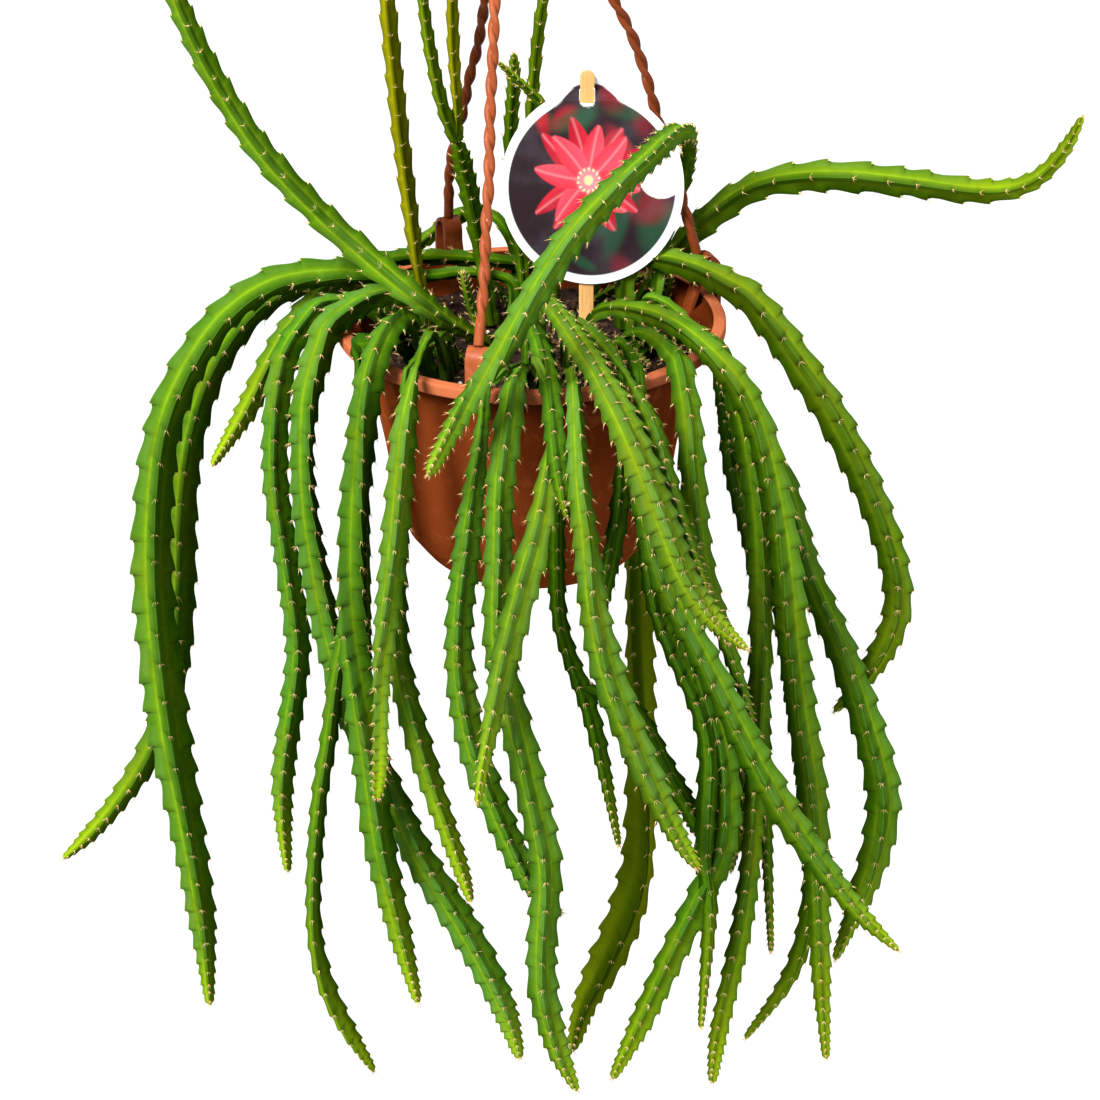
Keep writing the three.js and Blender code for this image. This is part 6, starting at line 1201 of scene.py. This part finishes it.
def petal(col, x0, z0, angle, length, width, curve, c_a, c_b):
    a = math.radians(angle); e = np.array([math.cos(a), math.sin(a)]); f = np.array([-e[1], e[0]])
    u = (lx - x0) * e[0] + (lz - z0) * e[1]; v = (lx - x0) * f[0] + (lz - z0) * f[1]
    t = np.clip(u / length, 0, 1)
    v = v - curve * t * t
    half = width * np.sin(np.clip(t, 0, 1) * math.pi * 0.93 + 0.18) ** 0.7
    dd = np.abs(v) - half
    m = (1 - ss(-0.25, 0.35, dd)) * (u > -0.5) * (1 - ss(length - 0.5, length + 0.1, u))
    shade = np.clip(0.5 + v / np.maximum(half, 0.1) * 0.5, 0, 1)
    vein = 0.12 * np.exp(-(v / 0.55) ** 2)
    cc = c_a[None, :] * (1 - shade[:, None]) + c_b[None, :] * shade[:, None]
    cc = cc * (1 - 0.35 * (t[:, None] ** 2) * 0.6) + vein[:, None]
    return over(col, m, cc)
A_, B_ = c3(252, 74, 92), c3(226, 44, 62)
D_, E_ = c3(200, 34, 52), c3(170, 24, 42)
for k, (an, ln, wd, cv) in enumerate([(100, 27, 4.6, 3), (62, 26, 4.4, -3), (20, 27, 4.2, 4), (-22, 25, 4.2, -4), (-68, 24, 4.4, 3), (-118, 25, 4.2, -4), (-158, 27, 4.0, 4), (145, 28, 4.2, -4)]):
    col = petal(col, -1.5, 3.0, an, ln, wd, cv, D_, E_)
for k, (an, ln, wd, cv) in enumerate([(84, 23, 4.6, -2), (40, 24, 4.8, 3), (-2, 23, 4.6, -3), (-46, 21, 4.4, 3), (-92, 20, 4.4, -2), (-138, 22, 4.4, 3), (176, 24, 4.6, -3), (124, 24, 4.8, 3)]):
    col = petal(col, -1.5, 3.0, an, ln, wd, cv, A_, B_)
hd = np.hypot(lx + 1.5, lz - 3.0)
col = over(col, 1 - ss(3.2, 6.5, hd), c3(255, 128, 138))
col = over(col, (1 - ss(1.6, 2.4, hd)), c3(250, 206, 150))
for k in range(14):
    a = k * 2 * math.pi / 14 + 0.2
    q = np.hypot(lx + 1.5 - 4.6 * math.cos(a), lz - 3.0 - 4.6 * math.sin(a))
    col = over(col, 1 - ss(0.35, 0.75, q), c3(255, 226, 170))
# bare white: the border and a round field at the right edge; a painted highlight under the cut is added to it
bare_white_and_highlight = np.clip(ss(-3.75, -3.35, sdo), 0, 1)
wf = np.hypot(X - (PC[0] + 30.6), Z - (PC[2] + 4.6))
bare_white_and_highlight = np.maximum(bare_white_and_highlight, 1 - ss(9.5, 9.9, wf))
tongue = np.hypot((X - SLOT_C[0]) / 3.3, (Z - (SLOT_C[1] - SLOT_H / 2 + 0.3)) / 1.9)     # small pale tongue under the cut: a painted highlight on the slot's lower edge
bare_white_and_highlight = np.maximum(bare_white_and_highlight, 1 - ss(0.80, 1.0, tongue))
col = over(col, bare_white_and_highlight, c3(243, 243, 245))
n = len(X)
t_ = 0.8
Vf = np.stack([X, Y - t_ / 2, Z], 1); Vb = np.stack([X, Y + t_ / 2, Z], 1)
V = np.vstack([Vf, Vb])
Fb = [[i + n for i in f[::-1]] for f in F]
edge = {}
for f in F:
    for a, b_ in zip(f, f[1:] + f[:1]):
        edge[(a, b_)] = edge.get((a, b_), 0) + 1
rim_f = [[b_, a, a + n, b_ + n] for (a, b_) in edge if (b_, a) not in edge]
allF = F + Fb + rim_f
mi = [0] * len(F) + [1] * (len(Fb) + len(rim_f))

def print_material():
    m, nt, b = mat_new("label_print")
    at = N(nt, "ShaderNodeAttribute", attribute_name="print")
    co = objcoord(nt)
    fine = noise_tex(nt, 2600, 2, 0.5, co)
    soft = noise_tex(nt, 60, 3, 0.5, co)
    c = mix(nt, maprange(nt, soft.outputs[0], 0.4, 0.7, 0, 0.06, True), at.outputs["Color"], lin(150, 150, 158))
    c = mix(nt, maprange(nt, fine.outputs[0], 0.35, 0.65, 0, 0.05), c, lin(20, 16, 20))
    L(nt, c, b.inputs["Base Color"])
    L(nt, maprange(nt, soft.outputs[0], 0.3, 0.7, 0.30, 0.42), b.inputs["Roughness"])
    b.inputs["Specular IOR Level"].default_value = 0.10
    bump(nt, b, soft.outputs[0], 0.05, 0.001)
    return m
M_PRINT = print_material()
M_CARD = simple_material("label_back", lin(240, 240, 242), lin(228, 229, 233), 40, (0.35, 0.5), 0.08, 0.0003, c3=lin(214, 214, 218))
attr = np.ones((2 * n, 4)); attr[:n, :3] = col; attr[n:, :3] = c3(243, 243, 245)
plate = new_obj("label_plate.card", V, allF, [M_PRINT, M_CARD], mat_index=mi, attrs={"print": attr}, replaces="label_plate")
bmx = bmesh.new(); bmx.from_mesh(plate.data); bmesh.ops.recalc_face_normals(bmx, faces=bmx.faces); bmx.to_mesh(plate.data); bmx.free()
sharpen(plate, 50)

# ------------------------------------------------------------------ label stick
def wood_material():
    m, nt, b = mat_new("stick_wood")
    co = objcoord(nt)
    mp = N(nt, "ShaderNodeMapping"); L(nt, co, mp.inputs[0]); mp.inputs["Scale"].default_value = (1, 1, 0.05)
    g1 = noise_tex(nt, 900, 6, 0.7, mp.outputs[0], 0.8)
    g2 = noise_tex(nt, 260, 3, 0.5, mp.outputs[0])
    pores = noise_tex(nt, 2600, 2, 0.6, mp.outputs[0])
    c = mix(nt, maprange(nt, g1.outputs[0], 0.35, 0.7, 0, 1), lin(226, 178, 112), lin(190, 136, 76))
    c = mix(nt, maprange(nt, g2.outputs[0], 0.45, 0.7, 0, 0.6, True), c, lin(204, 148, 84))
    c = mix(nt, maprange(nt, pores.outputs[0], 0.62, 0.78, 0, 0.5), c, lin(140, 92, 48))
    L(nt, c, b.inputs["Base Color"])
    b.inputs["Roughness"].default_value = 0.62
    b.inputs["Specular IOR Level"].default_value = 0.3
    bump(nt, b, g1.outputs[0], 0.35, 0.0004)
    return m
M_WOOD = wood_material()
SXC, SY0, SY1 = 30.2, 20.8, 22.6
zt, zb = -182.2, -303.4
w = 3.2
half = []
for z in np.linspace(zb, zt - w, 160):
    x = w
    x -= 0.55 * math.exp(-((z - (-190.2)) / 0.9) ** 2)        # small waist where the sheet grips it
    half.append((x, z))
for a in np.linspace(0, math.pi / 2, 14)[1:]:
    half.append((w * math.cos(a), zt - w + w * math.sin(a)))
outl = [(x, z) for x, z in half] + [(-x, z) for x, z in half[::-1][1:]]
n = len(outl)
V = [(SXC + x, SY0, z) for x, z in outl] + [(SXC + x, SY1, z) for x, z in outl]
F = []
m_ = n
hn = len(half)
# strips across the width keep the faces well shaped
def idx(i, side):
    return i if side > 0 else (n - i) % n if i > 0 else n - 1
lefts = [n - 1 - i for i in range(hn - 1)]
for i in range(hn - 2):
    a, b_ = i, i + 1
    c_, d_ = lefts[i + 1], lefts[i]
    F.append([a, b_, c_, d_]); F.append([a + n, d_ + n, c_ + n, b_ + n])
F.append([hn - 2, hn - 1, lefts[hn - 2]]); F.append([hn - 2 + n, lefts[hn - 2] + n, hn - 1 + n])
for k in range(n):
    k2 = (k + 1) % n
    F.append([k, k2, n + k2, n + k])
st = new_obj("label_stick.wood", V, F, M_WOOD, replaces="label_stick")
bmx = bmesh.new(); bmx.from_mesh(st.data); bmesh.ops.recalc_face_normals(bmx, faces=bmx.faces); bmx.to_mesh(st.data); bmx.free()
bevel_mesh(st, 0.32, 3, 50)

# ------------------------------------------------------------------ floor, light
def floor_material():
    m, nt, b = mat_new("floor_pale")
    co = objcoord(nt)
    n = noise_tex(nt, 0.8, 3, 0.5, co)
    c = mix(nt, maprange(nt, n.outputs[0], 0.4, 0.6, 0, 1, True), lin(174, 174, 174), lin(171, 171, 172))
    L(nt, c, b.inputs["Base Color"]); b.inputs["Roughness"].default_value = 0.9
    b.inputs["Specular IOR Level"].default_value = 0.1
    return m
fz = -2.2
me = bpy.data.meshes.new("floor")
me.from_pydata([(-30, -30, fz), (30, -30, fz), (30, 30, fz), (-30, 30, fz)], [], [(0, 1, 2, 3)])
me.materials.append(floor_material())
fl = bpy.data.objects.new("floor", me); bpy.context.scene.collection.objects.link(fl)

world = bpy.data.worlds.new("studio"); bpy.context.scene.world = world
world.use_nodes = True
bg = world.node_tree.nodes["Background"]
bg.inputs[0].default_value = (1.0, 1.0, 1.0, 1.0); bg.inputs[1].default_value = 0.24

def soft_sun(name, source, strength, spread):
    """wide soft lamp of the studio, far away in the direction of source"""
    d = bpy.data.lights.new(name, "SUN"); d.energy = strength; d.angle = math.radians(spread)
    o = bpy.data.objects.new(name, d); bpy.context.scene.collection.objects.link(o)
    o.location = tuple(2.0 * c for c in source)
    o.rotation_euler = (-Vector(source)).to_track_quat("-Z", "Y").to_euler()
    return o
soft_sun("key", (-0.50, -0.70, 0.80), 7.7, 22)
soft_sun("top", (0.10, 0.35, 1.0), 2.6, 60)
soft_sun("fill", (0.90, -0.80, 0.30), 0.7, 60)
bpy.context.scene.view_settings.view_transform = "Standard"
